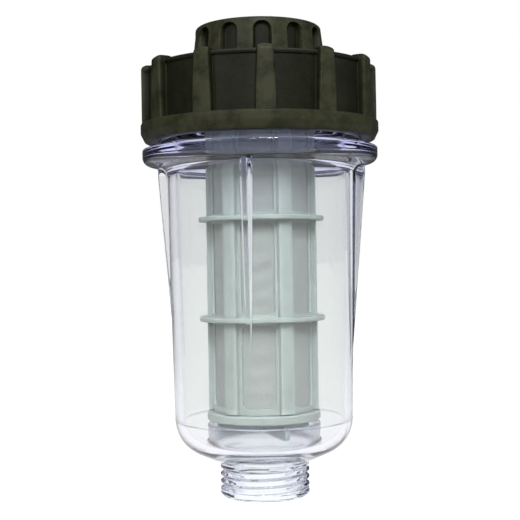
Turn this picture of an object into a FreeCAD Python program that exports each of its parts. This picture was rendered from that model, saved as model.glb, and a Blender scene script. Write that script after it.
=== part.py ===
import FreeCAD, Part
import math
import os
import re
import Sketcher

# Inline water filter for a hose: a clear bowl with a male hose thread below, a ribbed screw cap with a
# swivelling female nut on top, and a mesh cartridge that plugs into the cap.
# +Z is the common axis of every piece; z = 0 is the lower end of the male neck.

doc = FreeCAD.newDocument("inline_water_filter")
sheet = doc.addObject("Spreadsheet::Sheet", "Sizes")

# Driving dimensions in mm and degrees. A text that starts with "=" is worked out from the others.
SIZES = [
    ("hose_crest_r", 13.495, "male hose thread, crest radius"),
    ("hose_pitch", 2.209, "hose thread pitch"),
    ("hose_depth", 1.30, "hose thread depth"),
    ("hose_crest_flat", 0.36, "width of the thread's crest"),
    ("hose_root_flat", 0.34, "width of the thread's root"),
    ("tool_rise", 0.15, "how far a groove's cutting outline stands clear of the surface"),
    ("neck_bore_r", 9.5, "water way through the neck"),
    ("neck_chamfer", 0.7, "lead-in at the neck's end"),
    ("neck_groove_low_z", 2.0, "middle of the lowest groove"),
    ("neck_groove_count", 4, "number of grooves that stand for the thread's turns"),
    ("dish_foot_z", 10.1, "where the neck meets the bowl's dished bottom"),
    ("dish_edge_r", 20.7, "end of the dish's conical part"),
    ("dish_edge_z", 13.25, "height there"),
    ("dish_round", 10.8, "rounded corner between dish and wall"),
    ("wall_low_r", 26.9, "outside of the wall at its foot"),
    ("wall_low_z", 23.0, "foot of the wall"),
    ("wall_high_r", 28.4, "outside of the wall under the flange"),
    ("wall_high_z", 96.8, "height there"),
    ("wall", 2.45, "wall thickness"),
    ("floor_foot_z", 10.8, "dished floor at the bore"),
    ("floor_edge_r", 20.0, "end of the floor's conical part"),
    ("floor_edge_z", 16.1, "height there"),
    ("floor_round", 8.3, "rounded corner inside"),
    ("seat_out_r", 17.2, "standing ring that the cartridge is centred in"),
    ("seat_in_r", 15.4, "its inside"),
    ("seat_top_z", 21.8, "its top"),
    ("seat_out_z", 14.6, "where its outside meets the floor"),
    ("seat_in_z", 13.75, "where its inside meets the floor"),
    ("flange_r", 35.6, "grip flange under the cap"),
    ("flange_top_z", 104.7, "top of the flange"),
    ("flange_edge_round", 0.6, "upper edge of the flange"),
    ("flange_under_round", 2.5, "lower edge of the flange"),
    ("flange_under_z", 99.8, "underside of the flange at its edge"),
    ("flange_root_r", 31.2, "underside of the flange at its root"),
    ("flange_root_z", 99.4, "height there"),
    ("flange_root_round", 3.3, "fillet between wall and flange"),
    ("collar_r", 30.1, "plain shoulder above the flange"),
    ("collar_z", 107.9, "top of the shoulder"),
    ("thread_root_r", 29.0, "root of the bowl's screw ridge"),
    ("thread_crest_r", 30.1, "crest of the bowl's screw ridge"),
    ("thread_top_z", 118.6, "end of the threaded part"),
    ("pilot_r", 28.6, "end of the bowl above the thread"),
    ("bowl_top_z", 122.0, "rim of the bowl"),
    ("rim_chamfer", 0.5, "chamfer on the rim"),
    ("cap_pitch", 4.0, "pitch of the cap's screw"),
    ("ridge_base", 1.9, "width of a screw ridge at its foot"),
    ("ridge_top", 1.0, "width of a screw ridge at its crest"),
    ("ridge_sink", 0.4, "how far a ridge runs into its wall"),
    ("bowl_ridge_z", 110.4, "start of the bowl's ridge"),
    ("bowl_ridge_rise", 7.0, "height the bowl's ridge climbs"),
    ("cap_ridge_rise", 8.0, "height the cap's ridge climbs"),
    ("flank_bias", 0.3, "how much nearer the loaded flanks are"),
    ("ring_groove_r", 27.4, "bottom of the bowl's ring groove"),
    ("ring_groove_low_z", 119.3, "lower side of the groove"),
    ("ring_groove_high_z", 121.2, "upper side of the groove"),
    ("bowl_ring_r", 28.34, "middle of the bowl's sealing ring"),
    ("bowl_ring_thick_r", 0.88, "half its thickness"),
    ("fin_out_r", 31.7, "outside of a gusset fin at its top"),
    ("fin_top_z", 99.6, "top of a fin, inside the flange"),
    ("fin_knee_z", 97.0, "where the fin starts to taper"),
    ("fin_low_z", 40.0, "where the fin meets the wall"),
    ("fin_low_r", 26.6, "radius there, just inside the wall"),
    ("fin_tip", 0.3, "width of the fin at its foot"),
    ("fin_in_r", 27.1, "inner edge of the fin at its top, inside the wall"),
    ("fin_thick", 2.3, "thickness of a fin"),
    ("fin_turn", -8.2, "turn of the fins about the axis"),
    ("fin_count", 4, "number of gusset fins"),
    ("cap_turn", 3.0, "turn of the cap's ribs about the axis"),
    ("skirt_z", 106.9, "lower end of the cap"),
    ("skirt_r", 36.0, "radius of the cap's lower band"),
    ("skirt_cut_r", 34.8, "chamfered lower edge, radius"),
    ("skirt_cut_z", 109.3, "chamfered lower edge, height"),
    ("skirt_mouth_r", 31.3, "mouth of the cap"),
    ("skirt_mouth_z", 107.7, "end of the mouth's chamfer"),
    ("band_z", 112.2, "top of the lower band"),
    ("band_round", 0.5, "edge of the lower band"),
    ("panel_low_r", 33.5, "panel between the ribs, at the band"),
    ("panel_high_r", 33.1, "the same under the crown"),
    ("lip_r", 33.8, "thin lip along a panel's top"),
    ("lip_low_z", 127.9, "foot of the lip"),
    ("lip_high_z", 128.5, "top of the lip"),
    ("crown_z", 129.3, "top face of the cap"),
    ("crown_edge_r", 33.0, "edge of the top face"),
    ("cap_root_r", 30.45, "root of the cap's screw ridge"),
    ("cap_crest_r", 29.35, "crest of the cap's screw ridge"),
    ("cap_root_z", 117.9, "end of the threaded part"),
    ("seal_r", 29.3, "bore that the bowl's ring seals against"),
    ("seal_low_z", 118.6, "start of that bore"),
    ("stop_z", 122.1, "shoulder that the rim stops against"),
    ("stop_r", 27.0, "inside of the shoulder"),
    ("ceiling_z", 126.2, "underside of the crown"),
    ("socket_r", 10.0, "socket for the cartridge's neck"),
    ("socket_out_r", 12.7, "outside of the socket"),
    ("socket_low_z", 117.2, "lower end of the socket"),
    ("socket_top_z", 125.2, "end of the socket"),
    ("socket_chamfer", 0.6, "lead-in of the socket"),
    ("tail_bore_r", 7.5, "water way through the tail"),
    ("tail_r", 10.4, "tail that carries the nut"),
    ("tail_top_z", 133.3, "top of the tail"),
    ("tail_groove_r", 9.4, "bottom of the snap ring's groove"),
    ("tail_groove_low_z", 131.55, "lower side of that groove"),
    ("tail_groove_high_z", 132.65, "upper side of that groove"),
    ("rib_out_r", 35.6, "face of a rib"),
    ("rib_in_r", 31.6, "inner end of a rib, inside the wall"),
    ("rib_low_z", 111.0, "foot of a rib, inside the band"),
    ("rib_side_z", 128.5, "where a rib's rounded top starts"),
    ("rib_top_z", 130.4, "top of a rib"),
    ("rib_low_half", 3.0, "half the width of a rib at its foot"),
    ("rib_high_half", 2.3, "half the width of a rib at its top"),
    ("rib_edge_round", 1.9, "rounded edge between a rib's face and its top"),
    ("rib_count", 12, "number of ribs"),
    ("arch_slack", 0.05, "how much larger an arch's radius is than half its width"),
    ("nut_turn", 3.5, "turn of the nut's flutes about the axis"),
    ("nut_low_z", 129.6, "lower end of the nut"),
    ("nut_top_z", 141.2, "top of the nut"),
    ("nut_low_r", 20.3, "outside of the nut at its foot"),
    ("nut_high_r", 18.9, "outside of the nut at its top"),
    ("nut_round", 1.2, "rounded upper edge"),
    ("nut_chamfer", 0.5, "lower edge"),
    ("nut_minor_r", 12.1, "inside of the female thread"),
    ("nut_seat_r", 12.6, "room for the hose washer under the thread"),
    ("nut_seat_z", 135.8, "lower end of the female thread"),
    ("nut_mouth_r", 13.0, "mouth of the female thread"),
    ("nut_flange_r", 10.5, "hole that turns on the tail"),
    ("nut_flange_z", 131.4, "upper side of the nut's inner flange"),
    ("nut_groove_low_z", 136.7, "middle of the lowest groove"),
    ("nut_groove_rise", 3.6, "height the groove climbs"),
    ("flute_floor_r", 17.5, "floor of a flute"),
    ("flute_half", 2.5, "half the width of a flute"),
    ("flute_top_z", 139.9, "top of a flute's arch"),
    ("flute_count", 12, "number of flutes"),
    ("snap_low_z", 131.6, "snap ring, lower side"),
    ("snap_high_z", 132.6, "snap ring, upper side"),
    ("snap_in_r", 9.45, "snap ring, inside"),
    ("snap_out_r", 11.7, "snap ring, outside"),
    ("snap_gap_half", 1.6, "half the gap in the snap ring"),
    ("washer_in_r", 8.0, "hose washer, inside"),
    ("washer_out_r", 12.4, "hose washer, outside"),
    ("washer_low_z", 133.33, "hose washer, lower side"),
    ("washer_high_z", 135.7, "hose washer, upper side"),
    ("washer_edge", 0.25, "rounded edge of the washer"),
    ("cage_turn", 25.0, "turn of the cartridge's windows about the axis"),
    ("cage_low_z", 25.75, "lower end of the cage"),
    ("cage_in_r", 14.4, "inside of the cage"),
    ("cage_out_r", 15.1, "outside of the cage's wall"),
    ("cage_fin_r", 16.7, "outside of the cage's upright fins"),
    ("cage_fin_half", 2.2, "half the width of an upright fin"),
    ("cage_fin_sink", 0.2, "how far an upright fin runs into the wall and the head"),
    ("cage_fin_count", 6, "number of upright fins"),
    ("hoop_r", 19.0, "outside of the cage's hoops"),
    ("hoop_thick", 1.6, "thickness of a hoop"),
    ("hoop_low_z", 53.5, "middle of the lower hoop"),
    ("hoop_step", 29.9, "distance from hoop to hoop"),
    ("head_low_z", 112.4, "underside of the cage's head"),
    ("head_high_z", 114.4, "top of the cage's head"),
    ("window_half", 4.9, "half the width of a window"),
    ("window_corner", 1.6, "rounded corner of a window"),
    ("window_low_z", 27.6, "sill of the lowest window"),
    ("window_margin", 1.5, "from a hoop's middle to the next window"),
    ("neck_r", 9.92, "neck of the cartridge in the socket"),
    ("neck_in_r", 6.9, "water way through the cartridge's neck"),
    ("neck_top_z", 124.9, "end of the cartridge's neck"),
    ("neck_groove_r", 8.1, "bottom of the neck's ring groove"),
    ("neck_ring_low_z", 119.9, "lower side of the groove"),
    ("neck_ring_high_z", 121.9, "upper side of the groove"),
    ("cartridge_ring_r", 9.04, "middle of the cartridge's sealing ring"),
    ("cartridge_ring_thick_r", 0.91, "half its thickness"),
    ("neck_lead", 0.6, "chamfer on the neck's end"),
    ("mesh_in_r", 14.0, "mesh sleeve, inside"),
    ("mesh_out_r", 14.35, "mesh sleeve, outside"),
    ("mesh_low_z", 25.75, "mesh sleeve, lower end"),
    ("mesh_high_z", 112.35, "mesh sleeve, upper end"),
    ("plug_r", 17.15, "flange of the cartridge's end plug"),
    ("plug_low_z", 23.0, "underside of that flange"),
    ("plug_high_z", 25.7, "top of that flange"),
    ("plug_round", 0.5, "edge of that flange"),
    ("plug_spigot_r", 13.9, "part of the plug inside the mesh"),
    ("plug_spigot_z", 28.2, "top of that part"),
    ("plug_hollow_r", 12.3, "hollow in that part"),
    ("plug_web_r", 15.15, "centring webs under the plug"),
    ("plug_web_half", 0.8, "half the thickness of a web"),
    ("plug_web_z", 17.6, "lower end of the webs"),
]

for row, (alias, size, note) in enumerate(SIZES, start=1):
    sheet.set(f"A{row}", note)
    sheet.set(f"B{row}", str(size))
    sheet.setAlias(f"B{row}", alias)
doc.recompute()


def bound(text):
    """The same formula with every name pointing at the sheet."""
    return re.sub(r"[a-z_][a-z_0-9]*", lambda found: "Sizes." + found.group(0), text)


def value(text):
    """What a formula comes to now, in mm or degrees."""
    return float(sheet.evalExpression(bound(text)))


def origin_part(body, role):
    """One of a body's own planes or axes, by role such as XZ_Plane or Z_Axis."""
    return next(item for item in body.Origin.OriginFeatures if item.Role == role)


def new_body(label, turn=None):
    """An empty body at the common origin, turned about the axis by a size from the sheet."""
    body = doc.addObject("PartDesign::Body", label + "_body")
    body.Label = label
    if turn:
        about_axis = FreeCAD.Rotation(FreeCAD.Vector(0, 0, 1), value(turn))
        body.Placement = FreeCAD.Placement(FreeCAD.Vector(), about_axis)
        body.setExpression(".Placement.Rotation.Angle", bound(turn))
    return body


def arc_between(start, end, radius):
    """Short arc from start to end; a positive radius bends to the left, a negative one to the right."""
    chord = end - start
    left = FreeCAD.Vector(-chord.y, chord.x, 0).normalize()
    reach = math.sqrt(radius ** 2 - (chord.Length / 2) ** 2)
    centre = (start + end) * 0.5 + left * math.copysign(reach, radius)
    first, last = (start, end) if radius > 0 else (end, start)
    first_angle = math.atan2(first.y - centre.y, first.x - centre.x)
    last_angle = math.atan2(last.y - centre.y, last.x - centre.x)
    if last_angle < first_angle:
        last_angle += 2 * math.pi
    circle = Part.Circle(centre, FreeCAD.Vector(0, 0, 1), abs(radius))
    return Part.ArcOfCircle(circle, first_angle, last_angle)


def hold(sketch, edge, end, direction, axis, text):
    """Tie one coordinate of a corner to a formula, or to the axis where it is zero."""
    size = value(text)
    if abs(size) < 1e-9:
        sketch.addConstraint(Sketcher.Constraint("PointOnObject", edge, end, axis))
        return
    pair = (-1, 1, edge, end) if size > 0 else (edge, end, -1, 1)
    number = sketch.addConstraint(Sketcher.Constraint(direction, *pair, abs(size)))
    formula = bound(text) if size > 0 else f"-({bound(text)})"
    sketch.setExpression(f"Constraints[{number}]", formula)


def draw(sketch, corners):
    """Closed outline from corners (x, y) or (x, y, radius of the arc to the next corner)."""
    first_edge = sketch.GeometryCount
    points = [FreeCAD.Vector(value(corner[0]), value(corner[1]), 0) for corner in corners]
    ends = []
    for number, corner in enumerate(corners):
        start = points[number]
        end = points[(number + 1) % len(points)]
        if len(corner) == 3:
            radius = value(corner[2])
            edge = sketch.addGeometry(arc_between(start, end, radius))
            ends.append((edge, 1, 2) if radius > 0 else (edge, 2, 1))
            tie = sketch.addConstraint(Sketcher.Constraint("Radius", edge, abs(radius)))
            sketch.setExpression(f"Constraints[{tie}]", f"abs({bound(corner[2])})")
        else:
            edge = sketch.addGeometry(Part.LineSegment(start, end))
            ends.append((edge, 1, 2))
    for number, (edge, start_end, far_end) in enumerate(ends):
        next_edge, next_start, _ = ends[(number + 1) % len(ends)]
        sketch.addConstraint(Sketcher.Constraint("Coincident", edge, far_end, next_edge, next_start))
        hold(sketch, edge, start_end, "DistanceX", -2, corners[number][0])
        hold(sketch, edge, start_end, "DistanceY", -1, corners[number][1])
    assert sketch.GeometryCount == first_edge + len(corners)


def new_sketch(body, name, role, outlines, out=None):
    """Sketch on one of the body's planes, moved outward along the plane's normal if out is given."""
    sketch = body.newObject("Sketcher::SketchObject", name)
    sketch.AttachmentSupport = (origin_part(body, role), [""])
    sketch.MapMode = "FlatFace"
    if out:
        sketch.setExpression(".AttachmentOffset.Base.z", bound(out))
    for corners in outlines:
        draw(sketch, corners)
    doc.recompute()
    return sketch


def turned(body, name, corners):
    """Revolve an outline of (radius, height) corners about the body's axis."""
    sketch = new_sketch(body, name + "_outline", "XZ_Plane", [corners])
    feature = body.newObject("PartDesign::Revolution", name)
    feature.Profile = sketch
    feature.ReferenceAxis = (sketch, ["V_Axis"])
    feature.Angle = 360
    doc.recompute()
    return feature


def turned_cut(body, name, corners):
    """Cut away a revolved outline."""
    sketch = new_sketch(body, name + "_outline", "XZ_Plane", [corners])
    feature = body.newObject("PartDesign::Groove", name)
    feature.Profile = sketch
    feature.ReferenceAxis = (sketch, ["V_Axis"])
    feature.Angle = 360
    doc.recompute()
    return feature


def repeated(body, feature, name, count):
    """Repeat a feature evenly around the body's axis."""
    pattern = body.newObject("PartDesign::PolarPattern", name)
    pattern.Originals = [feature]
    pattern.Axis = (origin_part(body, "Z_Axis"), [""])
    pattern.Angle = 360
    pattern.setExpression("Occurrences", bound(count))
    body.Tip = pattern
    doc.recompute()
    return pattern


def stacked(body, feature, name, count, reach):
    """Repeat a feature upwards along the body's axis."""
    pattern = body.newObject("PartDesign::LinearPattern", name)
    pattern.Originals = [feature]
    pattern.Direction = (origin_part(body, "Z_Axis"), [""])
    pattern.setExpression("Length", bound(reach))
    pattern.setExpression("Occurrences", bound(count))
    body.Tip = pattern
    doc.recompute()
    return pattern


def slab(body, name, corners, thick, turn=None):
    """Upright slab of an outline in the axial plane, or in that plane turned about the axis."""
    sketch = new_sketch(body, name + "_outline", "XZ_Plane", [corners])
    if turn:
        upright = FreeCAD.Rotation(FreeCAD.Vector(0, 1, 0), value(turn))
        sketch.AttachmentOffset = FreeCAD.Placement(FreeCAD.Vector(), upright)
        sketch.setExpression(".AttachmentOffset.Rotation.Angle", bound(turn))
        doc.recompute()
    pad = body.newObject("PartDesign::Pad", name)
    pad.Profile = sketch
    pad.setExpression("Length", bound(thick))
    pad.Midplane = True
    doc.recompute()
    return pad


def outward(body, name, kind, outlines, start, length):
    """Pad or pocket along +X from the plane x = start."""
    sketch = new_sketch(body, name + "_outline", "YZ_Plane", outlines, start)
    feature = body.newObject("PartDesign::" + kind, name)
    feature.Profile = sketch
    feature.setExpression("Length", bound(length))
    feature.Reversed = kind == "Pocket"
    doc.recompute()
    return feature


def screw(body, name, kind, corners, pitch, rise):
    """Right-handed ridge or groove: an outline carried up a helix about the body's axis."""
    sketch = new_sketch(body, name + "_outline", "XZ_Plane", [corners])
    feature = body.newObject("PartDesign::" + kind, name)
    feature.Profile = sketch
    feature.ReferenceAxis = (sketch, ["V_Axis"])
    feature.Mode = "pitch-height-angle"
    feature.setExpression("Pitch", bound(pitch))
    feature.setExpression("Height", bound(rise))
    feature.LeftHanded = False
    feature.Reversed = False
    doc.recompute()
    return feature


def across(radius, height, half_width):
    """Two corners of a thread outline at one radius, lower then upper."""
    return [(radius, f"{height} - ({half_width})"), (radius, f"{height} + ({half_width})")]


def ridge_outline(foot_r, crest_r, height, sink):
    """Trapezoid of a screw ridge that starts a little inside its wall."""
    low_foot, high_foot = across(f"{foot_r} - ({sink})", height, "ridge_base / 2")
    low_crest, high_crest = across(crest_r, height, "ridge_top / 2")
    return [low_foot, low_crest, high_crest, high_foot]


def hose_groove(surface_r, height, inward):
    """V of the hose thread, cut inward (1) from outside or outward (-1) from inside."""
    mouth = "(hose_pitch - hose_crest_flat) / 2"
    flare = "(hose_pitch - hose_crest_flat - hose_root_flat) / 2 / hose_depth"
    low_air, high_air = across(f"{surface_r} + {inward} * tool_rise", height,
                               f"{mouth} + tool_rise * {flare}")
    low_root, high_root = across(f"{surface_r} - {inward} * hose_depth", height, "hose_root_flat / 2")
    return [low_air, high_air, high_root, low_root]


def make_bowl():
    """Clear bowl: threaded neck, dished bottom, tapered wall, grip flange, fins, screw ridge, ring groove."""
    body = new_body("bowl", "fin_turn")
    turned(body, "bowl_shell", [
        ("neck_bore_r", "0"),
        ("hose_crest_r - neck_chamfer", "0"),
        ("hose_crest_r", "neck_chamfer"),
        ("hose_crest_r", "dish_foot_z"),
        ("dish_edge_r", "dish_edge_z", "dish_round"),
        ("wall_low_r", "wall_low_z"),
        ("wall_high_r", "wall_high_z", "-flange_root_round"),
        ("flange_root_r", "flange_root_z"),
        ("flange_r - flange_under_round", "flange_under_z", "flange_under_round"),
        ("flange_r", "flange_under_z + flange_under_round"),
        ("flange_r", "flange_top_z - flange_edge_round", "flange_edge_round"),
        ("flange_r - flange_edge_round", "flange_top_z"),
        ("collar_r", "flange_top_z"),
        ("collar_r", "collar_z"),
        ("thread_root_r", "collar_z"),
        ("thread_root_r", "thread_top_z"),
        ("pilot_r", "thread_top_z"),
        ("pilot_r", "ring_groove_low_z"),
        ("ring_groove_r", "ring_groove_low_z"),
        ("ring_groove_r", "ring_groove_high_z"),
        ("pilot_r", "ring_groove_high_z"),
        ("pilot_r", "bowl_top_z - rim_chamfer"),
        ("pilot_r - rim_chamfer", "bowl_top_z"),
        ("wall_high_r - wall", "bowl_top_z"),
        ("wall_high_r - wall", "wall_high_z"),
        ("wall_low_r - wall", "wall_low_z", "-floor_round"),
        ("floor_edge_r", "floor_edge_z"),
        ("seat_out_r", "seat_out_z"),
        ("seat_out_r", "seat_top_z"),
        ("seat_in_r", "seat_top_z"),
        ("seat_in_r", "seat_in_z"),
        ("neck_bore_r", "floor_foot_z"),
    ])
    fin = slab(body, "gusset_fin", [
        ("fin_low_r", "fin_low_z"),
        ("fin_low_r + fin_tip", "fin_low_z"),
        ("fin_out_r", "fin_knee_z"),
        ("fin_out_r", "fin_top_z"),
        ("fin_in_r", "fin_top_z"),
    ], "fin_thick")
    repeated(body, fin, "gusset_fins", "fin_count")
    screw(body, "cap_screw_ridge", "AdditiveHelix",
          ridge_outline("thread_root_r", "thread_crest_r", "bowl_ridge_z", "ridge_sink"),
          "cap_pitch", "bowl_ridge_rise")
    groove = turned_cut(body, "hose_groove", hose_groove("hose_crest_r", "neck_groove_low_z", "1"))
    stacked(body, groove, "hose_grooves", "neck_groove_count", "hose_pitch * (neck_groove_count - 1)")
    return body


def make_cap():
    """Screw cap: ribbed skirt, crown with the nut's tail, socket for the cartridge, inner screw ridge."""
    body = new_body("cap", "cap_turn")
    turned(body, "cap_shell", [
        ("skirt_mouth_r", "skirt_z"),
        ("skirt_cut_r", "skirt_z"),
        ("skirt_r", "skirt_cut_z"),
        ("skirt_r", "band_z - band_round", "band_round"),
        ("skirt_r - band_round", "band_z"),
        ("panel_low_r", "band_z"),
        ("panel_high_r", "lip_low_z"),
        ("lip_r", "lip_low_z"),
        ("lip_r", "lip_high_z"),
        ("crown_edge_r", "crown_z"),
        ("tail_r", "crown_z"),
        ("tail_r", "tail_groove_low_z"),
        ("tail_groove_r", "tail_groove_low_z"),
        ("tail_groove_r", "tail_groove_high_z"),
        ("tail_r", "tail_groove_high_z"),
        ("tail_r", "tail_top_z"),
        ("tail_bore_r", "tail_top_z"),
        ("tail_bore_r", "socket_top_z"),
        ("socket_r", "socket_top_z"),
        ("socket_r", "socket_low_z + socket_chamfer"),
        ("socket_r + socket_chamfer", "socket_low_z"),
        ("socket_out_r", "socket_low_z"),
        ("socket_out_r", "ceiling_z"),
        ("stop_r", "ceiling_z"),
        ("stop_r", "stop_z"),
        ("seal_r", "stop_z"),
        ("seal_r", "seal_low_z"),
        ("cap_root_r", "cap_root_z"),
        ("cap_root_r", "skirt_mouth_z"),
    ])
    rib = outward(body, "rib", "Pad", [[
        ("-rib_low_half", "rib_low_z"),
        ("rib_low_half", "rib_low_z"),
        ("rib_high_half", "rib_side_z", "rib_high_half + arch_slack"),
        ("-rib_high_half", "rib_side_z"),
    ]], "rib_in_r", "rib_out_r - rib_in_r")
    repeated(body, rib, "ribs", "rib_count")
    turned_cut(body, "rib_edges", [
        ("rib_out_r - rib_edge_round", "rib_top_z", "-rib_edge_round"),
        ("rib_out_r", "rib_top_z - rib_edge_round"),
        ("rib_out_r + rib_edge_round", "rib_top_z - rib_edge_round"),
        ("rib_out_r + rib_edge_round", "rib_top_z + rib_edge_round"),
        ("rib_out_r - rib_edge_round", "rib_top_z + rib_edge_round"),
    ])
    lead = "cap_pitch * (cap_turn - fin_turn) / 360 - cap_pitch / 2 + flank_bias"
    screw(body, "screw_ridge", "AdditiveHelix",
          ridge_outline("cap_root_r", "cap_crest_r", f"bowl_ridge_z + {lead}", "-ridge_sink"),
          "cap_pitch", "cap_ridge_rise")
    return body


def make_swivel_nut():
    """Fluted nut with a female hose thread; its inner flange turns on the cap's tail."""
    body = new_body("swivel_nut", "nut_turn")
    turned(body, "nut_shell", [
        ("nut_flange_r", "nut_low_z"),
        ("nut_low_r - nut_chamfer", "nut_low_z"),
        ("nut_low_r", "nut_low_z + nut_chamfer"),
        ("nut_high_r", "nut_top_z - nut_round", "nut_round"),
        ("nut_high_r - nut_round", "nut_top_z"),
        ("nut_mouth_r", "nut_top_z"),
        ("nut_minor_r", "nut_top_z - nut_mouth_r + nut_minor_r"),
        ("nut_minor_r", "nut_seat_z"),
        ("nut_seat_r", "nut_seat_z"),
        ("nut_seat_r", "nut_flange_z"),
        ("nut_flange_r", "nut_flange_z"),
    ])
    flute = outward(body, "flute", "Pocket", [[
        ("-flute_half", "nut_low_z - nut_chamfer"),
        ("flute_half", "nut_low_z - nut_chamfer"),
        ("flute_half", "flute_top_z - flute_half", "flute_half + arch_slack"),
        ("-flute_half", "flute_top_z - flute_half"),
    ]], "flute_floor_r", "nut_low_r - flute_floor_r + nut_chamfer")
    repeated(body, flute, "flutes", "flute_count")
    screw(body, "hose_thread", "SubtractiveHelix", hose_groove("nut_minor_r", "nut_groove_low_z", "-1"),
          "hose_pitch", "nut_groove_rise")
    return body


def make_snap_ring():
    """Split ring that sits in the tail's groove and keeps the nut on."""
    body = new_body("nut_snap_ring")
    turned(body, "ring", [
        ("snap_in_r", "snap_low_z"),
        ("snap_out_r", "snap_low_z"),
        ("snap_out_r", "snap_high_z"),
        ("snap_in_r", "snap_high_z"),
    ])
    outward(body, "gap", "Pocket", [[
        ("-snap_gap_half", "snap_low_z - snap_gap_half"),
        ("snap_gap_half", "snap_low_z - snap_gap_half"),
        ("snap_gap_half", "snap_high_z + snap_gap_half"),
        ("-snap_gap_half", "snap_high_z + snap_gap_half"),
    ]], "0", "snap_out_r + snap_gap_half")
    return body


def make_hose_washer():
    """Flat sealing washer inside the nut, on top of the tail."""
    body = new_body("hose_washer")
    turned(body, "washer", [
        ("washer_in_r", "washer_low_z"),
        ("washer_out_r - washer_edge", "washer_low_z", "washer_edge"),
        ("washer_out_r", "washer_low_z + washer_edge"),
        ("washer_out_r", "washer_high_z - washer_edge", "washer_edge"),
        ("washer_out_r - washer_edge", "washer_high_z"),
        ("washer_in_r", "washer_high_z"),
    ])
    return body


def make_ring(label, middle_r, thick_r, height):
    """Round sealing ring lying level at a height."""
    ring = doc.addObject("Part::Torus", label + "_torus")
    ring.Label = label
    ring.setExpression("Radius1", bound(middle_r))
    ring.setExpression("Radius2", bound(thick_r))
    ring.setExpression(".Placement.Base.z", bound(height))
    return ring


def make_cage():
    """Cartridge cage: windowed wall, upright fins, hoops, head and neck."""
    body = new_body("cartridge_cage", "cage_turn")
    corners = [("cage_in_r", "cage_low_z"), ("cage_out_r", "cage_low_z")]
    for number in range(2):
        middle = f"hoop_low_z + {number} * hoop_step"
        corners += [
            ("cage_out_r", f"{middle} - hoop_thick / 2"),
            ("hoop_r", f"{middle} - hoop_thick / 2"),
            ("hoop_r", f"{middle} + hoop_thick / 2"),
            ("cage_out_r", f"{middle} + hoop_thick / 2"),
        ]
    corners += [
        ("cage_out_r", "head_low_z"),
        ("hoop_r", "head_low_z"),
        ("hoop_r", "head_high_z"),
        ("neck_r", "head_high_z"),
        ("neck_r", "neck_ring_low_z"),
        ("neck_groove_r", "neck_ring_low_z"),
        ("neck_groove_r", "neck_ring_high_z"),
        ("neck_r", "neck_ring_high_z"),
        ("neck_r", "neck_top_z - neck_lead"),
        ("neck_r - neck_lead", "neck_top_z"),
        ("neck_in_r", "neck_top_z"),
        ("neck_in_r", "head_low_z"),
        ("cage_in_r", "head_low_z"),
    ]
    turned(body, "cage_wall", corners)
    sills = ["window_low_z"]
    heads = []
    for number in range(2):
        heads.append(f"hoop_low_z + {number} * hoop_step - window_margin")
        sills.append(f"hoop_low_z + {number} * hoop_step + window_margin")
    heads.append("head_low_z - window_margin / 2")
    window = outward(body, "windows", "Pocket", [[
        ("-window_half + window_corner", sill),
        ("window_half - window_corner", sill, "window_corner"),
        ("window_half", f"{sill} + window_corner"),
        ("window_half", f"{head} - window_corner", "window_corner"),
        ("window_half - window_corner", head),
        ("-window_half + window_corner", head, "window_corner"),
        ("-window_half", f"{head} - window_corner"),
        ("-window_half", f"{sill} + window_corner", "window_corner"),
    ] for sill, head in zip(sills, heads)], "0", "cage_fin_r")
    repeated(body, window, "windows_around", "cage_fin_count")
    fin = slab(body, "upright_fin", [
        ("cage_in_r + cage_fin_sink", "cage_low_z"),
        ("cage_fin_r", "cage_low_z"),
        ("cage_fin_r", "head_low_z + cage_fin_sink"),
        ("cage_in_r + cage_fin_sink", "head_low_z + cage_fin_sink"),
    ], "cage_fin_half * 2", "180 / cage_fin_count")
    repeated(body, fin, "upright_fins", "cage_fin_count")
    return body


def make_mesh():
    """Fine mesh sleeve inside the cage, as one thin tube."""
    body = new_body("cartridge_mesh", "cage_turn")
    turned(body, "sleeve", [
        ("mesh_in_r", "mesh_low_z"),
        ("mesh_out_r", "mesh_low_z"),
        ("mesh_out_r", "mesh_high_z"),
        ("mesh_in_r", "mesh_high_z"),
    ])
    return body


def make_plug():
    """Plug that closes the cartridge's lower end, with centring webs below."""
    body = new_body("cartridge_end_plug", "cage_turn")
    turned(body, "plug", [
        ("0", "plug_low_z"),
        ("plug_r - plug_round", "plug_low_z", "plug_round"),
        ("plug_r", "plug_low_z + plug_round"),
        ("plug_r", "plug_high_z - plug_round", "plug_round"),
        ("plug_r - plug_round", "plug_high_z"),
        ("plug_spigot_r", "plug_high_z"),
        ("plug_spigot_r", "plug_spigot_z"),
        ("plug_hollow_r", "plug_spigot_z"),
        ("plug_hollow_r", "plug_high_z"),
        ("0", "plug_high_z"),
    ])
    web = slab(body, "web", [
        ("-plug_web_r", "plug_web_z"),
        ("plug_web_r", "plug_web_z"),
        ("plug_web_r", "plug_low_z + plug_round"),
        ("-plug_web_r", "plug_low_z + plug_round"),
    ], "plug_web_half * 2")
    repeated(body, web, "webs", "cage_fin_count - 2")
    return body


pieces = [
    make_bowl(),
    make_cap(),
    make_swivel_nut(),
    make_snap_ring(),
    make_hose_washer(),
    make_ring("bowl_o_ring", "bowl_ring_r", "bowl_ring_thick_r",
              "(ring_groove_low_z + ring_groove_high_z) / 2"),
    make_cage(),
    make_mesh(),
    make_plug(),
    make_ring("cartridge_o_ring", "cartridge_ring_r", "cartridge_ring_thick_r",
              "(neck_ring_low_z + neck_ring_high_z) / 2"),
]
doc.recompute()

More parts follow.
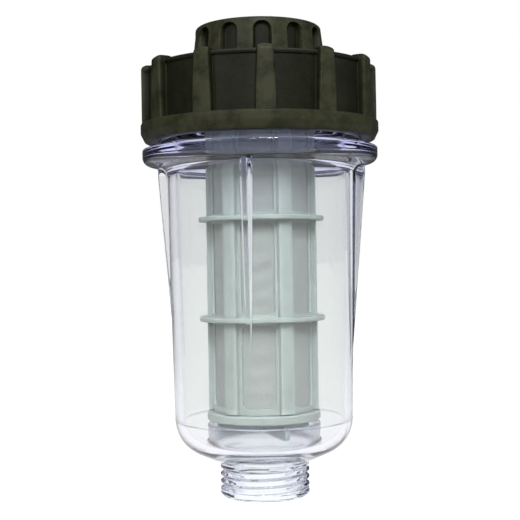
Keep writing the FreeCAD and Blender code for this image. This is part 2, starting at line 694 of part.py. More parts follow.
for item in doc.Objects:
    if "Invalid" in item.State or "Error" in item.State:
        raise RuntimeError(f"{item.Label} did not compute: {item.State}")
os.makedirs("parts", exist_ok=True)
for piece in pieces:
    shape = piece.Shape
    if shape.isNull() or not shape.isValid() or len(shape.Solids) != 1:
        raise RuntimeError(f"{piece.Label} is not one sound solid")
    shape.exportStep(f"parts/{piece.Label}.step")
    print(piece.Label, round(shape.Volume, 1), shape.BoundBox)
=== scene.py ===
import math

import bmesh
import bpy
import numpy as np
from bpy.props import FloatProperty, FloatVectorProperty, IntProperty, PointerProperty
from bpy.types import Operator, Panel, PropertyGroup
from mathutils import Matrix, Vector


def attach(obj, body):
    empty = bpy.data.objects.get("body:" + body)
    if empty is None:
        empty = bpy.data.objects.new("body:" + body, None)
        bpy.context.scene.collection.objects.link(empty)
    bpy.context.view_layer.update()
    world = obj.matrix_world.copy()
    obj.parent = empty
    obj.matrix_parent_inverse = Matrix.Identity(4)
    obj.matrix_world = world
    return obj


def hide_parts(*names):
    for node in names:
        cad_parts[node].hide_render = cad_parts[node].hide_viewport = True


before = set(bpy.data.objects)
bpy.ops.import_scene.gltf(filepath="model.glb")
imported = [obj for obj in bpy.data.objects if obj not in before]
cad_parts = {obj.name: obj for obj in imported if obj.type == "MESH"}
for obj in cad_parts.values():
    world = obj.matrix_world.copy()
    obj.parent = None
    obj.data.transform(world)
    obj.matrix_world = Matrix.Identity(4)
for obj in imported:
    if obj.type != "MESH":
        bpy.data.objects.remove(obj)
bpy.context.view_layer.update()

bl_info = {
    "name": "Inline Water Filter",
    "version": (1, 0, 0),
    "blender": (4, 5, 0),
    "location": "3D View > Sidebar > Water Filter",
    "description": "Builds the pieces, finishes and stage of an inline hose water filter",
    "category": "Mesh",
}

# The pieces' heights and radii are in millimetres, from the lower end of the neck and from the axis. The
# finishes, the lamps and the camera have theirs in metres.
MM = 0.001
FULL_TURN = 2 * math.pi


# ---------------------------------------------------------------- sizes and colours

def length(name, description, millimetres):
    """A size in the sidebar, given here in millimetres and kept in metres."""
    return FloatProperty(name=name, description=description, default=millimetres * MM, min=0.0,
                         unit="LENGTH", precision=5)


def colour(name, description, shade):
    """A colour in the sidebar."""
    return FloatVectorProperty(name=name, description=description, default=shade, subtype="COLOR",
                               size=3, min=0.0, max=1.0)


class BowlSizes(PropertyGroup):
    """Sizes of the clear bowl."""
    thread_radius: length("Thread radius", "Crest radius of the male hose thread", 13.495)
    foot_radius: length("Foot radius", "Outside of the wall at its foot", 26.9)
    top_radius: length("Top radius", "Outside of the wall under the flange", 28.4)
    wall: length("Wall", "Thickness of the clear wall", 2.45)
    flange_radius: length("Flange radius", "Outside of the grip flange", 35.6)
    fin_radius: length("Fin radius", "Outside of a gusset fin at its top", 31.7)
    fin_thickness: length("Fin thickness", "Thickness of a gusset fin", 2.3)
    fins: IntProperty(name="Fins", description="Number of gusset fins", default=4, min=1)


class CapSizes(PropertyGroup):
    """Sizes of the screw cap."""
    skirt_radius: length("Skirt radius", "Outside of the lower band", 36.0)
    rib_radius: length("Rib radius", "Distance of a rib's face from the axis", 35.6)
    rib_foot: length("Rib foot", "Width of a rib at the band", 5.7)
    rib_head: length("Rib head", "Width of a rib at the crown", 4.6)
    ribs: IntProperty(name="Ribs", description="Number of grip ribs", default=12, min=3)


class NutSizes(PropertyGroup):
    """Sizes of the swivel nut."""
    foot_radius: length("Foot radius", "Outside of the nut at its foot", 20.3)
    head_radius: length("Head radius", "Outside of the nut at its top", 18.9)
    flute_floor: length("Flute floor", "Distance of a flute's floor from the axis", 17.5)
    flute_width: length("Flute width", "Width of a flute", 5.0)
    flutes: IntProperty(name="Flutes", description="Number of flutes", default=12, min=3)


class CartridgeSizes(PropertyGroup):
    """Sizes of the filter cartridge."""
    hoop_radius: length("Hoop radius", "Outside of the hoops and the head", 19.0)
    fin_radius: length("Fin radius", "Outside of the upright fins", 16.7)
    fin_width: length("Fin width", "Width of an upright fin", 4.4)
    wave: length("Mesh wave", "How far the mesh sleeve waves in and out", 0.11)
    fins: IntProperty(name="Fins", description="Number of upright fins", default=6, min=3)


class Finishes(PropertyGroup):
    """Colours of the finishes."""
    clear: colour("Clear plastic", "Tint of the clear bowl", (0.952, 0.960, 0.936))
    depth: colour("Depth tint", "Colour that thick clear plastic takes on", (0.40, 0.42, 0.97))
    black: colour("Black plastic", "Cap and nut", (0.0080, 0.0085, 0.0036))
    # Lighter olive of the rib faces, band, nut lands and outer edges: partly wear, partly a painted
    # highlight; the grain's speckle takes it too.
    worn_and_highlit: colour("Scuffed black", "The same where hands rub it", (0.039, 0.041, 0.021))
    cage: colour("Cartridge plastic", "Cage and end plug", (0.325, 0.368, 0.337))
    mesh: colour("Mesh", "Filter mesh", (0.325, 0.350, 0.325))
    rubber: colour("Rubber", "Sealing rings and washer", (0.018, 0.018, 0.019))
    ring: colour("Snap ring", "Ring that keeps the nut on", (0.62, 0.60, 0.52))
    floor: colour("Floor", "What the floor gives back to the lamps", (0.50, 0.50, 0.48))


# ---------------------------------------------------------------- curves and surfaces

def smooth_step(x, low, high):
    """0 below low, 1 above high, and 3t^2 - 2t^3 of the way between."""
    t = np.clip((x - low) / (high - low), 0.0, 1.0)
    return t * t * (3 - 2 * t)


def fades(x, low, high, width):
    """1 between low and high, falling to 0 over a width inside each end."""
    return smooth_step(x, low, low + width) * smooth_step(-x, -high, width - high)


def soft_max(a, b, width):
    """The larger of two values; where they are within width, a parabola rounds their meeting."""
    near = np.maximum(width - np.abs(a - b), 0.0) / width
    return np.maximum(a, b) + near * near * width / 4


def soft_min(a, b, width):
    """The smaller of two values, rounded in the same way."""
    return -soft_max(-a, -b, width)


def rounded(corners, spacing=2.0, arc_turn=11.0, arc_step=0.9):
    """Chain of points through corners (x, y) or (x, y, radius) or (x, y, radius, spacing).

    A corner with a radius becomes the circular arc that touches both its straights. Straights are
    divided evenly so that no step is longer than the spacing given at their first corner.
    """
    points = [np.array(corner[:2], float) for corner in corners]
    arcs = [points[0][None, :]]
    for number in range(1, len(points) - 1):
        here = points[number]
        back = points[number - 1] - here
        forth = points[number + 1] - here
        back = back / np.linalg.norm(back)
        forth = forth / np.linalg.norm(forth)
        radius = corners[number][2] if len(corners[number]) > 2 else 0.0
        turn = math.pi - math.acos(float(np.clip(back @ forth, -1, 1)))
        if radius <= 0 or turn < 1e-3:
            arcs.append(here[None, :])
            continue
        cut = radius * math.tan(turn / 2)
        first, last = here + back * cut, here + forth * cut
        middle = here + (back + forth) / np.linalg.norm(back + forth) * radius / math.cos(turn / 2)
        count = max(2, math.ceil(math.degrees(turn) / arc_turn), math.ceil(radius * turn / arc_step))
        start = math.atan2(*(first - middle)[::-1])
        sweep = math.atan2(*(last - middle)[::-1]) - start
        sweep = (sweep + math.pi) % FULL_TURN - math.pi
        turns = start + sweep * np.linspace(0, 1, count + 1)
        arcs.append(middle + radius * np.column_stack([np.cos(turns), np.sin(turns)]))
    arcs.append(points[-1][None, :])
    chain = [arcs[0]]
    for number in range(1, len(arcs)):
        before, after = chain[-1][-1], arcs[number][0]
        step = corners[number - 1][3] if len(corners[number - 1]) > 3 else spacing
        parts = max(1, math.ceil(np.linalg.norm(after - before) / step - 1e-6))
        straight = before + (after - before) * np.linspace(0, 1, parts + 1)[1:-1, None]
        chain += [straight, arcs[number]]
    chain = np.vstack(chain)
    steps = np.linalg.norm(np.diff(chain, axis=0), axis=1)
    return chain[np.concatenate([[True], steps > 1e-6])]


def spread(chain, count):
    """The same chain as count points evenly spaced along its length."""
    along = np.concatenate([[0], np.cumsum(np.linalg.norm(np.diff(chain, axis=0), axis=1))])
    wanted = np.linspace(0, along[-1], count)
    return np.column_stack([np.interp(wanted, along, chain[:, 0]), np.interp(wanted, along, chain[:, 1])])


def closed(chain):
    """The same chain with its first point repeated at its end."""
    return np.vstack([chain, chain[:1]])


def turned(radius, height, angle):
    """Grid of points (radius cos angle, radius sin angle, height); rows run along the profile."""
    radius, height, angle = np.broadcast_arrays(radius, height, angle)
    return np.stack([radius * np.cos(angle), radius * np.sin(angle), height], axis=-1)


def lathed(chain, angles):
    """Grid made by carrying a chain of (radius, height) round the axis."""
    return turned(chain[:, :1], chain[:, 1:], angles)


def threaded(angles, low, high, pitch, start, offsets, radius_at):
    """Wall of a screw between two heights, as a grid whose rows climb with the helix.

    A row keeps its distance from the middle of the ridge; the middle is at
    start height + pitch times the number of turns. radius_at takes that distance, the number of
    turns and the height. Rows past either end are laid on it, where they merge away.
    """
    start_height, start_angle = start
    turns = (angles - start_angle) / FULL_TURN
    first = math.floor((low - start_height) / pitch - turns.max()) - 1
    last = math.ceil((high - start_height) / pitch - turns.min()) + 1
    ridges = np.repeat(np.arange(first, last + 1), len(offsets))
    along = ridges[:, None] + turns[None, :]
    height = start_height + pitch * along + np.tile(offsets, last + 1 - first)[:, None]
    height = np.clip(height, low, high)
    return turned(radius_at(height - start_height - pitch * along, along, height), height, angles)


def trapezoid(distance, top, foot, soften=0.07):
    """1 on a ridge's top, 0 beyond its foot, straight flanks between, averaged over a short window."""
    def plain(x):
        return np.clip((foot / 2 - np.abs(x)) / ((foot - top) / 2), 0.0, 1.0)
    return (plain(distance - soften) + 2 * plain(distance) + plain(distance + soften)) / 4


def ridge_offsets(pitch, top, foot, soften=0.07):
    """Distances from the ridge's middle at which a screw's wall changes slope, within one pitch."""
    half = [0.0, top / 2 - soften, top / 2, top / 2 + soften, (top + foot) / 4,
            foot / 2 - soften, foot / 2, foot / 2 + soften]
    half = [value for value in half if 0 <= value < pitch / 2 - soften / 2]
    return np.array(sorted({-value for value in half} | set(half) | {-pitch / 2}))


# ---------------------------------------------------------------- meshes

def grid_faces(rows, columns, first):
    """Corner numbers of the quads of a grid whose first point has the number first."""
    row, column = np.meshgrid(np.arange(rows - 1), np.arange(columns - 1), indexing="ij")
    corner = (first + row * columns + column).ravel()
    return np.column_stack([corner, corner + 1, corner + columns + 1, corner + columns])


def fill_mesh(mesh, points, quads, polygons=()):
    """Put points in millimetres, quads and longer polygons into a mesh."""
    loops = [quads.ravel()] + [np.asarray(polygon) for polygon in polygons]
    sizes = np.concatenate([np.full(len(quads), 4), [len(polygon) for polygon in polygons]]).astype(np.int32)
    starts = np.concatenate([[0], np.cumsum(sizes)[:-1]]).astype(np.int32)
    corners = np.concatenate(loops).astype(np.int32)
    mesh.vertices.add(len(points))
    mesh.vertices.foreach_set("co", (points * MM).astype(np.float32).ravel())
    mesh.loops.add(len(corners))
    mesh.loops.foreach_set("vertex_index", corners)
    mesh.polygons.add(len(sizes))
    mesh.polygons.foreach_set("loop_start", starts)
    mesh.update(calc_edges=True)
    mesh.validate()


def weld(mesh, distance=0.0006):
    """Merge points closer than a distance in millimetres and drop faces that closed up."""
    work = bmesh.new()
    work.from_mesh(mesh)
    bmesh.ops.remove_doubles(work, verts=work.verts, dist=distance * MM)
    bmesh.ops.dissolve_degenerate(work, edges=work.edges, dist=distance * MM / 4)
    work.to_mesh(mesh)
    work.free()


def surface(name, patches, caps=()):
    """Object made of grids of points in millimetres, welded where they meet.

    caps are closed loops of points, each filled by one flat polygon.
    """
    points, quads, polygons, first = [], [], [], 0
    for patch in patches:
        rows, columns = patch.shape[:2]
        points.append(patch.reshape(-1, 3))
        quads.append(grid_faces(rows, columns, first))
        first += rows * columns
    for loop in caps:
        points.append(loop)
        polygons.append(np.arange(first, first + len(loop)))
        first += len(loop)
    mesh = bpy.data.meshes.new(name)
    fill_mesh(mesh, np.vstack(points), np.vstack(quads), polygons)
    weld(mesh)
    piece = bpy.data.objects.new(name, mesh)
    bpy.context.scene.collection.objects.link(piece)
    return piece


def outward_faces(piece):
    """Turn the faces of closed shells outwards."""
    work = bmesh.new()
    work.from_mesh(piece.data)
    bmesh.ops.recalc_face_normals(work, faces=work.faces)
    work.to_mesh(piece.data)
    work.free()
    return piece


def joined(piece, other):
    """Union of two closed shells; the second object is used up."""
    union = piece.modifiers.new("union", "BOOLEAN")
    union.operation = "UNION"
    union.object = other
    union.solver = "EXACT"
    bpy.context.view_layer.update()
    evaluated = piece.evaluated_get(bpy.context.evaluated_depsgraph_get())
    result = bpy.data.meshes.new_from_object(evaluated)
    piece.modifiers.remove(union)
    old = piece.data
    piece.data = result
    result.name = piece.name
    bpy.data.meshes.remove(old)
    spent = other.data
    bpy.data.objects.remove(other)
    bpy.data.meshes.remove(spent)
    weld(piece.data)
    return piece


def finish_piece(piece, body, nodes, material, sharp_degrees=38.0):
    """Shade the piece, give it its finish and tell the frame what it stands for."""
    mesh = piece.data
    mesh.polygons.foreach_set("use_smooth", np.ones(len(mesh.polygons), bool))
    mesh.set_sharp_from_angle(angle=math.radians(sharp_degrees))
    mesh.materials.clear()
    mesh.materials.append(material)
    mesh.update()
    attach(piece, body)
    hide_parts(*nodes)
    return piece


def evenly(start, count):
    """Angles from start round to start again, both ends given."""
    return start + np.linspace(0, FULL_TURN, count + 1)


# ---------------------------------------------------------------- the clear bowl

HOSE_PITCH = 2.209
HOSE_DEPTH = 1.30
NECK_DEPTH = 1.10
HOSE_MOUTH = 1.849
HOSE_ROOT = 0.34
NECK_SCREW = (1.0, 9.0)
NECK_RIDGE_START = 2.0
BOWL_SCREW = (108.8, 118.3)
WALL_FOOT, WALL_HEAD = 23.0, 96.8
RUN_OUT_TURNS = 0.06
CAP_PITCH = 4.0
RIDGE_TOP = 1.0
RIDGE_FOOT = 1.9
FIN_TURN = math.radians(-8.2)
BOWL_RIDGE_START = 110.4
BOWL_RIDGE_TURNS = 1.75
BOWL_ROOT = 29.0
BOWL_CREST = 30.1


def ridge_share(distance, turns, length_turns):
    """Share of its full height that the cap screw's ridge has; it runs out at both of its ends."""
    return trapezoid(distance, RIDGE_TOP, RIDGE_FOOT) * fades(turns, 0.0, length_turns, RUN_OUT_TURNS)


def bowl_chains(sizes):
    """Outer profile from the neck to the shoulder, and the rest from the rim round to the neck.

    The wall starts with the low ridge that the halves of the mould leave.
    """
    crest = sizes.thread_radius / MM
    top = sizes.top_radius / MM
    foot = sizes.foot_radius / MM
    flange = sizes.flange_radius / MM
    bore = top - sizes.wall / MM
    outer = rounded([
        (crest, NECK_SCREW[1]),
        (crest, 10.1, 0.35),
        (26.77, 16.21, 10.8),
        (foot - 0.002, WALL_FOOT - 0.1),
        (foot, WALL_FOOT),
        (foot + 0.06, WALL_FOOT + 0.06),
        (foot + 0.06, WALL_FOOT + 0.14),
        (foot + 0.01, WALL_FOOT + 0.2),
        (foot + 0.012, WALL_FOOT + 0.3, 0.0, 3.0),
        (top + 0.03, 98.75, 2.9, 2.6),
        (flange, 100.3, 2.4, 0.5),
        (flange, 104.7, 0.7, 0.7),
        (30.1, 104.7, 0.6, 1.2),
        (30.1, 107.9, 0.4),
        (BOWL_ROOT, 108.35, 0.3),
        (BOWL_ROOT, BOWL_SCREW[0]),
    ], spacing=2.0)
    rest = rounded([
        (BOWL_ROOT, BOWL_SCREW[1]),
        (BOWL_ROOT, 118.65, 0.15),
        (28.6, 118.85, 0.1),
        (28.6, 119.3, 0.12),
        (27.4, 119.3, 0.2),
        (27.4, 121.2, 0.2),
        (28.6, 121.2, 0.12),
        (28.6, 122.0, 0.35),
        (bore, 122.0, 0.5),
        (bore, WALL_HEAD, 0.0, 3.0),
        (24.33, 18.3, 8.3, 4.0),
        (17.2, 14.68, 0.7, 1.5),
        (17.2, 21.8, 0.45),
        (15.4, 21.8, 0.45),
        (15.4, 13.78, 0.5),
        (9.5, 10.8, 0.8),
        (9.5, 0.0, 0.3),
        (crest - 0.75, 0.0, 0.3),
        (crest, 0.75, 0.15),
        (crest, NECK_SCREW[0]),
    ], spacing=2.6)
    return outer, rest


def fin_height(height, across, sizes):
    """How far a gusset fin stands off the wall at a height and a distance from the fin's middle.

    The fin's ridge is a straight taper. Its sides fall away from the ridge at one slope. A parabola
    rounds each root and each outer edge; the rounded shape is then sunk so that it starts at the wall.
    """
    low, high = 41.0, 97.0
    slope, flat_less, root_width, edge_width, sink = 2.8, 0.5, 0.8, 0.9, 0.16
    reach = (sizes.fin_radius - sizes.top_radius) / MM + 0.25
    ridge = np.clip(reach * (height - low) / (high - low), 0.0, reach)
    half = sizes.fin_thickness / MM / 2
    side = ridge + slope * (half - flat_less - np.abs(across))
    return np.maximum(soft_min(ridge, soft_max(side, 0.0, root_width), edge_width) - sink, 0.0)


def bowl_angles(sizes):
    """Angles of the bowl's columns: even all round, and close together over each fin."""
    columns_between = 26
    half = np.concatenate([[0.0, 0.3, 0.5], np.arange(0.62, 2.1, 0.13), [2.25, 2.5]])
    across = np.concatenate([-half[:0:-1], half]) / (sizes.top_radius / MM)
    step = FULL_TURN / sizes.fins
    plain = np.linspace(across[-1], step + across[0], columns_between + 2)[1:-1]
    sector = np.concatenate([across, plain])
    angles = np.concatenate([FIN_TURN + number * step + sector for number in range(sizes.fins)])
    return np.append(angles, angles[0] + FULL_TURN)


def build_bowl(sizes, material):
    """Clear bowl as one closed surface: threaded neck, dish, wall with fins, flange, screw and floor."""
    angles = bowl_angles(sizes)
    outer, rest = bowl_chains(sizes)
    radius, height = outer[:, :1], outer[:, 1:]
    step = FULL_TURN / sizes.fins
    from_fin = (angles - FIN_TURN + step / 2) % step - step / 2
    across = from_fin[None, :] * sizes.top_radius / MM
    wall = np.interp(height, [WALL_FOOT, WALL_HEAD], [sizes.foot_radius / MM, sizes.top_radius / MM])
    fin = wall + fin_height(height, across, sizes)
    has_fin = (height > 30.0) & (height < 100.6) & (fin > wall + 1e-4)
    finned = np.where(has_fin, soft_max(radius, fin, 0.3), radius)
    finned = np.where(has_fin & (radius <= wall + 0.01), fin, finned)
    crest = sizes.thread_radius / MM

    def neck_radius(distance, turns, level):
        cut = trapezoid(distance, HOSE_ROOT, HOSE_MOUTH)
        return crest - NECK_DEPTH * cut * smooth_step(level, 1.5, 2.6) * smooth_step(-level, -8.95, -8.3)

    def collar_radius(distance, turns, level):
        return BOWL_ROOT + (BOWL_CREST - BOWL_ROOT) * ridge_share(distance, turns, BOWL_RIDGE_TURNS)

    neck = threaded(angles, *NECK_SCREW, HOSE_PITCH, (NECK_RIDGE_START, FIN_TURN),
                    ridge_offsets(HOSE_PITCH, HOSE_ROOT, HOSE_MOUTH), neck_radius)
    collar = threaded(angles, *BOWL_SCREW, CAP_PITCH, (BOWL_RIDGE_START, FIN_TURN),
                      ridge_offsets(CAP_PITCH, RIDGE_TOP, RIDGE_FOOT), collar_radius)
    piece = surface("clear_bowl", [
        neck,
        turned(finned, height, angles),
        collar,
        lathed(rest, angles),
    ])
    return finish_piece(piece, "bowl", ["bowl"], material)


# ---------------------------------------------------------------- the screw cap

CAP_TURN = math.radians(3.0)
CAP_ROOT = 30.45
CAP_CREST = 29.35
CAP_RIDGE_TURNS = 2.0
FLANK_BIAS = 0.3
CAP_COLUMN_RADIUS = 34.5
BAND_TOP = 112.2
CROWN_TOP = 129.3
RIB_TOP = 130.4
RIB_RISE = 2.3
CAP_SCREW = (107.9, 117.7)
PANEL_FOOT_RADIUS, PANEL_HEAD_RADIUS, PANEL_TOP = 33.6, 33.12, 127.9


def sector_columns(section, count, turn, middle_radius, plain_parts):
    """Columns of a shape repeated round the axis.

    section is a chain (distance across, share of the full height) over one repeat. Gives each
    column's repeat angle, its distance across, its share and the side it moves to when the repeat
    gets wider; between two repeats the columns run evenly from edge to edge.
    """
    step = FULL_TURN / count
    edge = section[-1, 0]
    gap = step * middle_radius - 2 * edge
    inner = np.linspace(0, 1, plain_parts + 1)[1:-1]
    across = np.concatenate([section[:, 0], edge + gap * inner])
    share = np.concatenate([section[:, 1], np.zeros(len(inner))])
    side = np.concatenate([np.sign(section[:, 0]), 1 - 2 * inner])
    middles = turn + step * np.arange(count)
    return (np.append(np.repeat(middles, len(across)), turn + FULL_TURN),
            np.append(np.tile(across, count), across[0]),
            np.append(np.tile(share, count), share[0]),
            np.append(np.tile(side, count), side[0]))


def mirrored_section(half, rise):
    """Both halves of a section given from its middle outwards, with its height as a share of rise."""
    return np.vstack([half[::-1] * [-1, 1], half[1:]]) / [1, rise]


def cap_profiles(sizes):
    """Closed profile of the cap between its ribs, the one through a rib, and each row's widening.

    Both have the same number of points. The widening is how much wider than at its head a rib is
    at that row.
    """
    skirt = sizes.skirt_radius / MM
    face = sizes.rib_radius / MM
    band = rounded([
        (CAP_ROOT, CAP_SCREW[0]),
        (31.3, 106.9, 0.2),
        (skirt - 1.2, 106.9, 0.35),
        (skirt, 109.3, 0.5),
        (skirt, BAND_TOP, 0.5),
        (PANEL_FOOT_RADIUS, BAND_TOP),
    ], spacing=1.0, arc_turn=18.0)
    panel = rounded([
        (PANEL_FOOT_RADIUS, BAND_TOP), (33.48, BAND_TOP + 0.1, 0.1), (PANEL_HEAD_RADIUS, PANEL_TOP),
    ], spacing=1.3)
    lip = rounded([
        (PANEL_HEAD_RADIUS, PANEL_TOP), (33.72, 128.05, 0.2), (33.8, 128.6, 0.25), (33.0, CROWN_TOP, 0.5),
        (32.3, CROWN_TOP),
    ], spacing=0.3)
    crown = rounded([(32.3, CROWN_TOP), (30.2, CROWN_TOP)], spacing=0.25)
    inside = rounded([
        (30.2, CROWN_TOP),
        (10.4, CROWN_TOP, 0.4, 2.5),
        (10.4, 131.55, 0.08),
        (9.4, 131.55, 0.08),
        (9.4, 132.65, 0.08),
        (10.4, 132.65, 0.08),
        (10.4, 133.3, 0.2),
        (7.5, 133.3, 0.3),
        (7.5, 125.2, 0.15),
        (10.0, 125.2, 0.15),
        (10.0, 117.8, 0.2),
        (10.6, 117.2, 0.15),
        (12.7, 117.2, 0.4),
        (12.7, 126.2, 0.6),
        (27.0, 126.2, 0.6, 3.0),
        (27.0, 122.1, 0.15),
        (29.3, 122.1, 0.12),
        (29.3, 118.6, 0.12),
        (CAP_ROOT, 117.9, 0.1),
        (CAP_ROOT, CAP_SCREW[1]),
    ], spacing=2.2, arc_turn=30.0)
    bend = 1.9
    rib_face = spread(np.array([(face, BAND_TOP), (face, RIB_TOP - bend)]), len(panel))
    rib_bend = rounded([(face, RIB_TOP - bend), (face, RIB_TOP, bend), (33.4, RIB_TOP)], 0.3, 9.0)
    rib_bend = spread(rib_bend, len(lip))
    rib_back = spread(rounded([(33.4, RIB_TOP), (31.3, RIB_TOP, 1.1), (30.2, CROWN_TOP)], 0.3), len(crown))
    on_ledge = band[:, 1] > BAND_TOP - 0.1
    rib_band = np.where(on_ledge[:, None], np.maximum(band, [face, 0]), band)
    base = np.vstack([band, panel[1:], lip[1:], crown[1:], inside[1:]])
    rib = np.vstack([rib_band, rib_face[1:], rib_bend[1:], rib_back[1:], inside[1:]])
    extra = (sizes.rib_foot - sizes.rib_head) / MM / 2
    widening = np.zeros(len(base))
    widening[:len(band)] = extra * smooth_step(np.arange(len(band)), 0, len(band) - on_ledge.sum())
    rows = slice(len(band), len(band) + len(panel) - 1)
    widening[rows] = extra * np.interp(base[rows, 1], [BAND_TOP, PANEL_TOP], [1.0, 0.0])
    return base, rib, widening


def build_cap(sizes, material):
    """Ribbed cap as one closed surface: skirt, panels, ribs, crown, tail, socket and inner screw."""
    head = sizes.rib_head / MM / 2
    draft, arch_share = 0.12, 0.93
    half = rounded([
        (0.0, RIB_RISE), (head - draft, RIB_RISE, 0.42), (head + draft, 0.0, 0.3), (head + 0.6, 0.0),
    ], spacing=0.8, arc_turn=22.0)
    middles, across, share, side = sector_columns(
        mirrored_section(half, RIB_RISE), sizes.ribs, CAP_TURN, CAP_COLUMN_RADIUS, 7)
    base, rib, widening = cap_profiles(sizes)
    arch = np.sqrt(1 - (arch_share * np.clip(np.abs(across) / (head + draft), 0, 1)) ** 2)
    above_crown = np.where(base[:, 1] > BAND_TOP, np.maximum(rib[:, 1] - CROWN_TOP, 0), 0) * (rib[:, 0] > 30)
    rib_height = rib[:, 1:] - above_crown[:, None] * (1 - arch)[None, :]
    radius = base[:, :1] + share * (rib[:, :1] - base[:, :1])
    height = base[:, 1:] + share * (rib_height - base[:, 1:])
    angle = middles + (across + side * widening[:, None]) / CAP_COLUMN_RADIUS
    lead = CAP_PITCH * (CAP_TURN - FIN_TURN) / FULL_TURN - CAP_PITCH / 2 + FLANK_BIAS

    def wall_radius(distance, turns, level):
        return CAP_ROOT - (CAP_ROOT - CAP_CREST) * ridge_share(distance, turns, CAP_RIDGE_TURNS)

    screw = threaded(middles + across / CAP_COLUMN_RADIUS, *CAP_SCREW, CAP_PITCH,
                     (BOWL_RIDGE_START + lead, CAP_TURN),
                     ridge_offsets(CAP_PITCH, RIDGE_TOP, RIDGE_FOOT), wall_radius)
    piece = surface("screw_cap", [turned(radius, height, angle), screw[::-1]])
    return finish_piece(piece, "cap", ["cap"], material)


# ---------------------------------------------------------------- the swivel nut and what it holds

NUT_TURN = math.radians(3.5)
NUT_COLUMN_RADIUS = 19.4
NUT_FOOT = 129.6
NUT_TOP = 141.2
NUT_THREAD = (136.0, 140.1)
NUT_GROOVE_START = 136.7
FLUTE_SPRING = 137.4
NUT_BORE = 12.1
# Each sealing ring's body, the node it replaces, its middle radius, its own radius and its height.
SEALS = {
    "bowl_seal": ("bowl", "bowl_o_ring", 28.34, 0.88, 120.25),
    "cartridge_seal": ("cartridge", "cartridge_o_ring", 9.04, 0.91, 120.9),
}


def nut_outside(sizes):
    """Profile of the nut from its thread's lower end down and up the outside to the upper end.

    Also gives the numbers of the first and the last row of the outside wall.
    """
    foot, head = sizes.foot_radius / MM, sizes.head_radius / MM
    low, high = NUT_THREAD
    inside = rounded([
        (NUT_BORE, low), (NUT_BORE, 135.8, 0.1), (12.6, 135.8, 0.1), (12.6, 131.4, 0.2), (10.5, 131.4, 0.2),
        (10.5, NUT_FOOT, 0.2), (17.0, NUT_FOOT),
    ], spacing=1.6)
    arch = sizes.flute_width / MM / 2
    turns = np.radians(np.arange(0.0, 91.0, 7.5))
    straight = np.linspace(NUT_FOOT + 0.7, FLUTE_SPRING, 9)[:-1]
    levels = np.concatenate([straight, FLUTE_SPRING + arch * np.sin(turns)])
    wall = np.column_stack([np.interp(levels, [NUT_FOOT, NUT_TOP], [foot, head]), levels])
    under = rounded([(17.0, NUT_FOOT), (foot, NUT_FOOT, 0.5), tuple(wall[0])], spacing=0.8)
    over = rounded([
        tuple(wall[-1]), (head + 0.02, NUT_TOP, 0.95), (13.0, NUT_TOP, 0.3), (NUT_BORE, 140.3, 0.2),
        (NUT_BORE, high),
    ], spacing=0.6)
    first = len(inside) - 1
    last = first + len(under) + len(wall) - 2
    return np.vstack([inside, under[1:], wall[1:], over[1:]]), first, last


def build_nut(sizes, material):
    """Fluted nut as one closed surface with a female thread.

    A flute's half width is the given one up to where its arch springs, and from there that of a
    half circle; columns beside a flute move with its edge.
    """
    profile, first, last = nut_outside(sizes)
    radius, height = profile[:, :1], profile[:, 1:]
    full = sizes.flute_width / MM / 2
    floor = sizes.flute_floor / MM
    climb = np.clip(height - FLUTE_SPRING, 0, full)
    narrowest, rounded_rows, fade_height = 0.18, 9, 0.5
    half = np.maximum(np.sqrt(full ** 2 - climb ** 2), narrowest)
    half = half + (full - half) * smooth_step(height, FLUTE_SPRING + full, NUT_TOP + 0.2)
    rows = np.arange(len(profile))[:, None]
    half = np.where((rows >= first) & (rows <= last + rounded_rows), half, full)
    # lane: shares of the flute's half width; rim: millimetres beyond it; both with their shares of depth
    edge_overlap = 0.11
    lane = np.array([0.0, 0.35, 0.7, 0.86, 0.95, 1.0])
    rim = np.array([0.12, 0.24, 0.34, 0.44, 0.7])
    depth_lane = np.array([1.0, 1.0, 1.0, 0.985, 0.93, 0.80])
    depth_rim = np.array([0.42, 0.14, 0.035, 0.0, 0.0])
    count = len(lane) + len(rim)
    share = np.concatenate([depth_lane, depth_rim])
    scale = np.concatenate([lane, np.ones(len(rim))])
    shift = np.concatenate([np.zeros(len(lane)), rim])
    side = np.concatenate([-np.ones(count - 1), np.ones(count)])
    order = np.concatenate([np.arange(count)[:0:-1], np.arange(count)])
    across = side * (scale[order] * (half - edge_overlap) + shift[order])
    step = FULL_TURN / sizes.flutes
    plain = np.linspace(0, 1, 8)[1:-1]
    right = across[:, -1:]
    gap = step * NUT_COLUMN_RADIUS - 2 * right
    across = np.hstack([across, right + gap * plain])
    share = np.concatenate([share[order], np.zeros(len(plain))])
    middles = NUT_TURN + step * np.repeat(np.arange(sizes.flutes), len(share))
    across = np.hstack([np.tile(across, sizes.flutes), across[:, :1]])
    share = np.append(np.tile(share, sizes.flutes), share[0])
    middles = np.append(middles, NUT_TURN + FULL_TURN)
    below_top = np.clip((FLUTE_SPRING + full - height) / fade_height, 0.0, 1.0)
    depth = np.where(rows >= first, np.sqrt(1 - (1 - below_top) ** 2), 0.0)
    cut = share * depth * np.maximum(radius - floor, 0.0)
    angle = middles + across / NUT_COLUMN_RADIUS
    low, high = NUT_THREAD

    def wall_radius(distance, turns, level):
        groove = trapezoid(distance, HOSE_ROOT, HOSE_MOUTH) * fades(level, low, high, 0.5)
        return NUT_BORE + HOSE_DEPTH * groove

    thread = threaded(angle[0], low, high, HOSE_PITCH, (NUT_GROOVE_START, NUT_TURN),
                      ridge_offsets(HOSE_PITCH, HOSE_ROOT, HOSE_MOUTH), wall_radius)
    piece = surface("swivel_nut_body", [turned(radius - cut, height, angle), thread[::-1]])
    return finish_piece(piece, "swivel_nut", ["swivel_nut"], material)


def ring_surface(name, chain, columns=120):
    """Closed surface of revolution through a closed chain of (radius, height)."""
    return surface(name, [lathed(closed(chain), evenly(0.0, columns))])


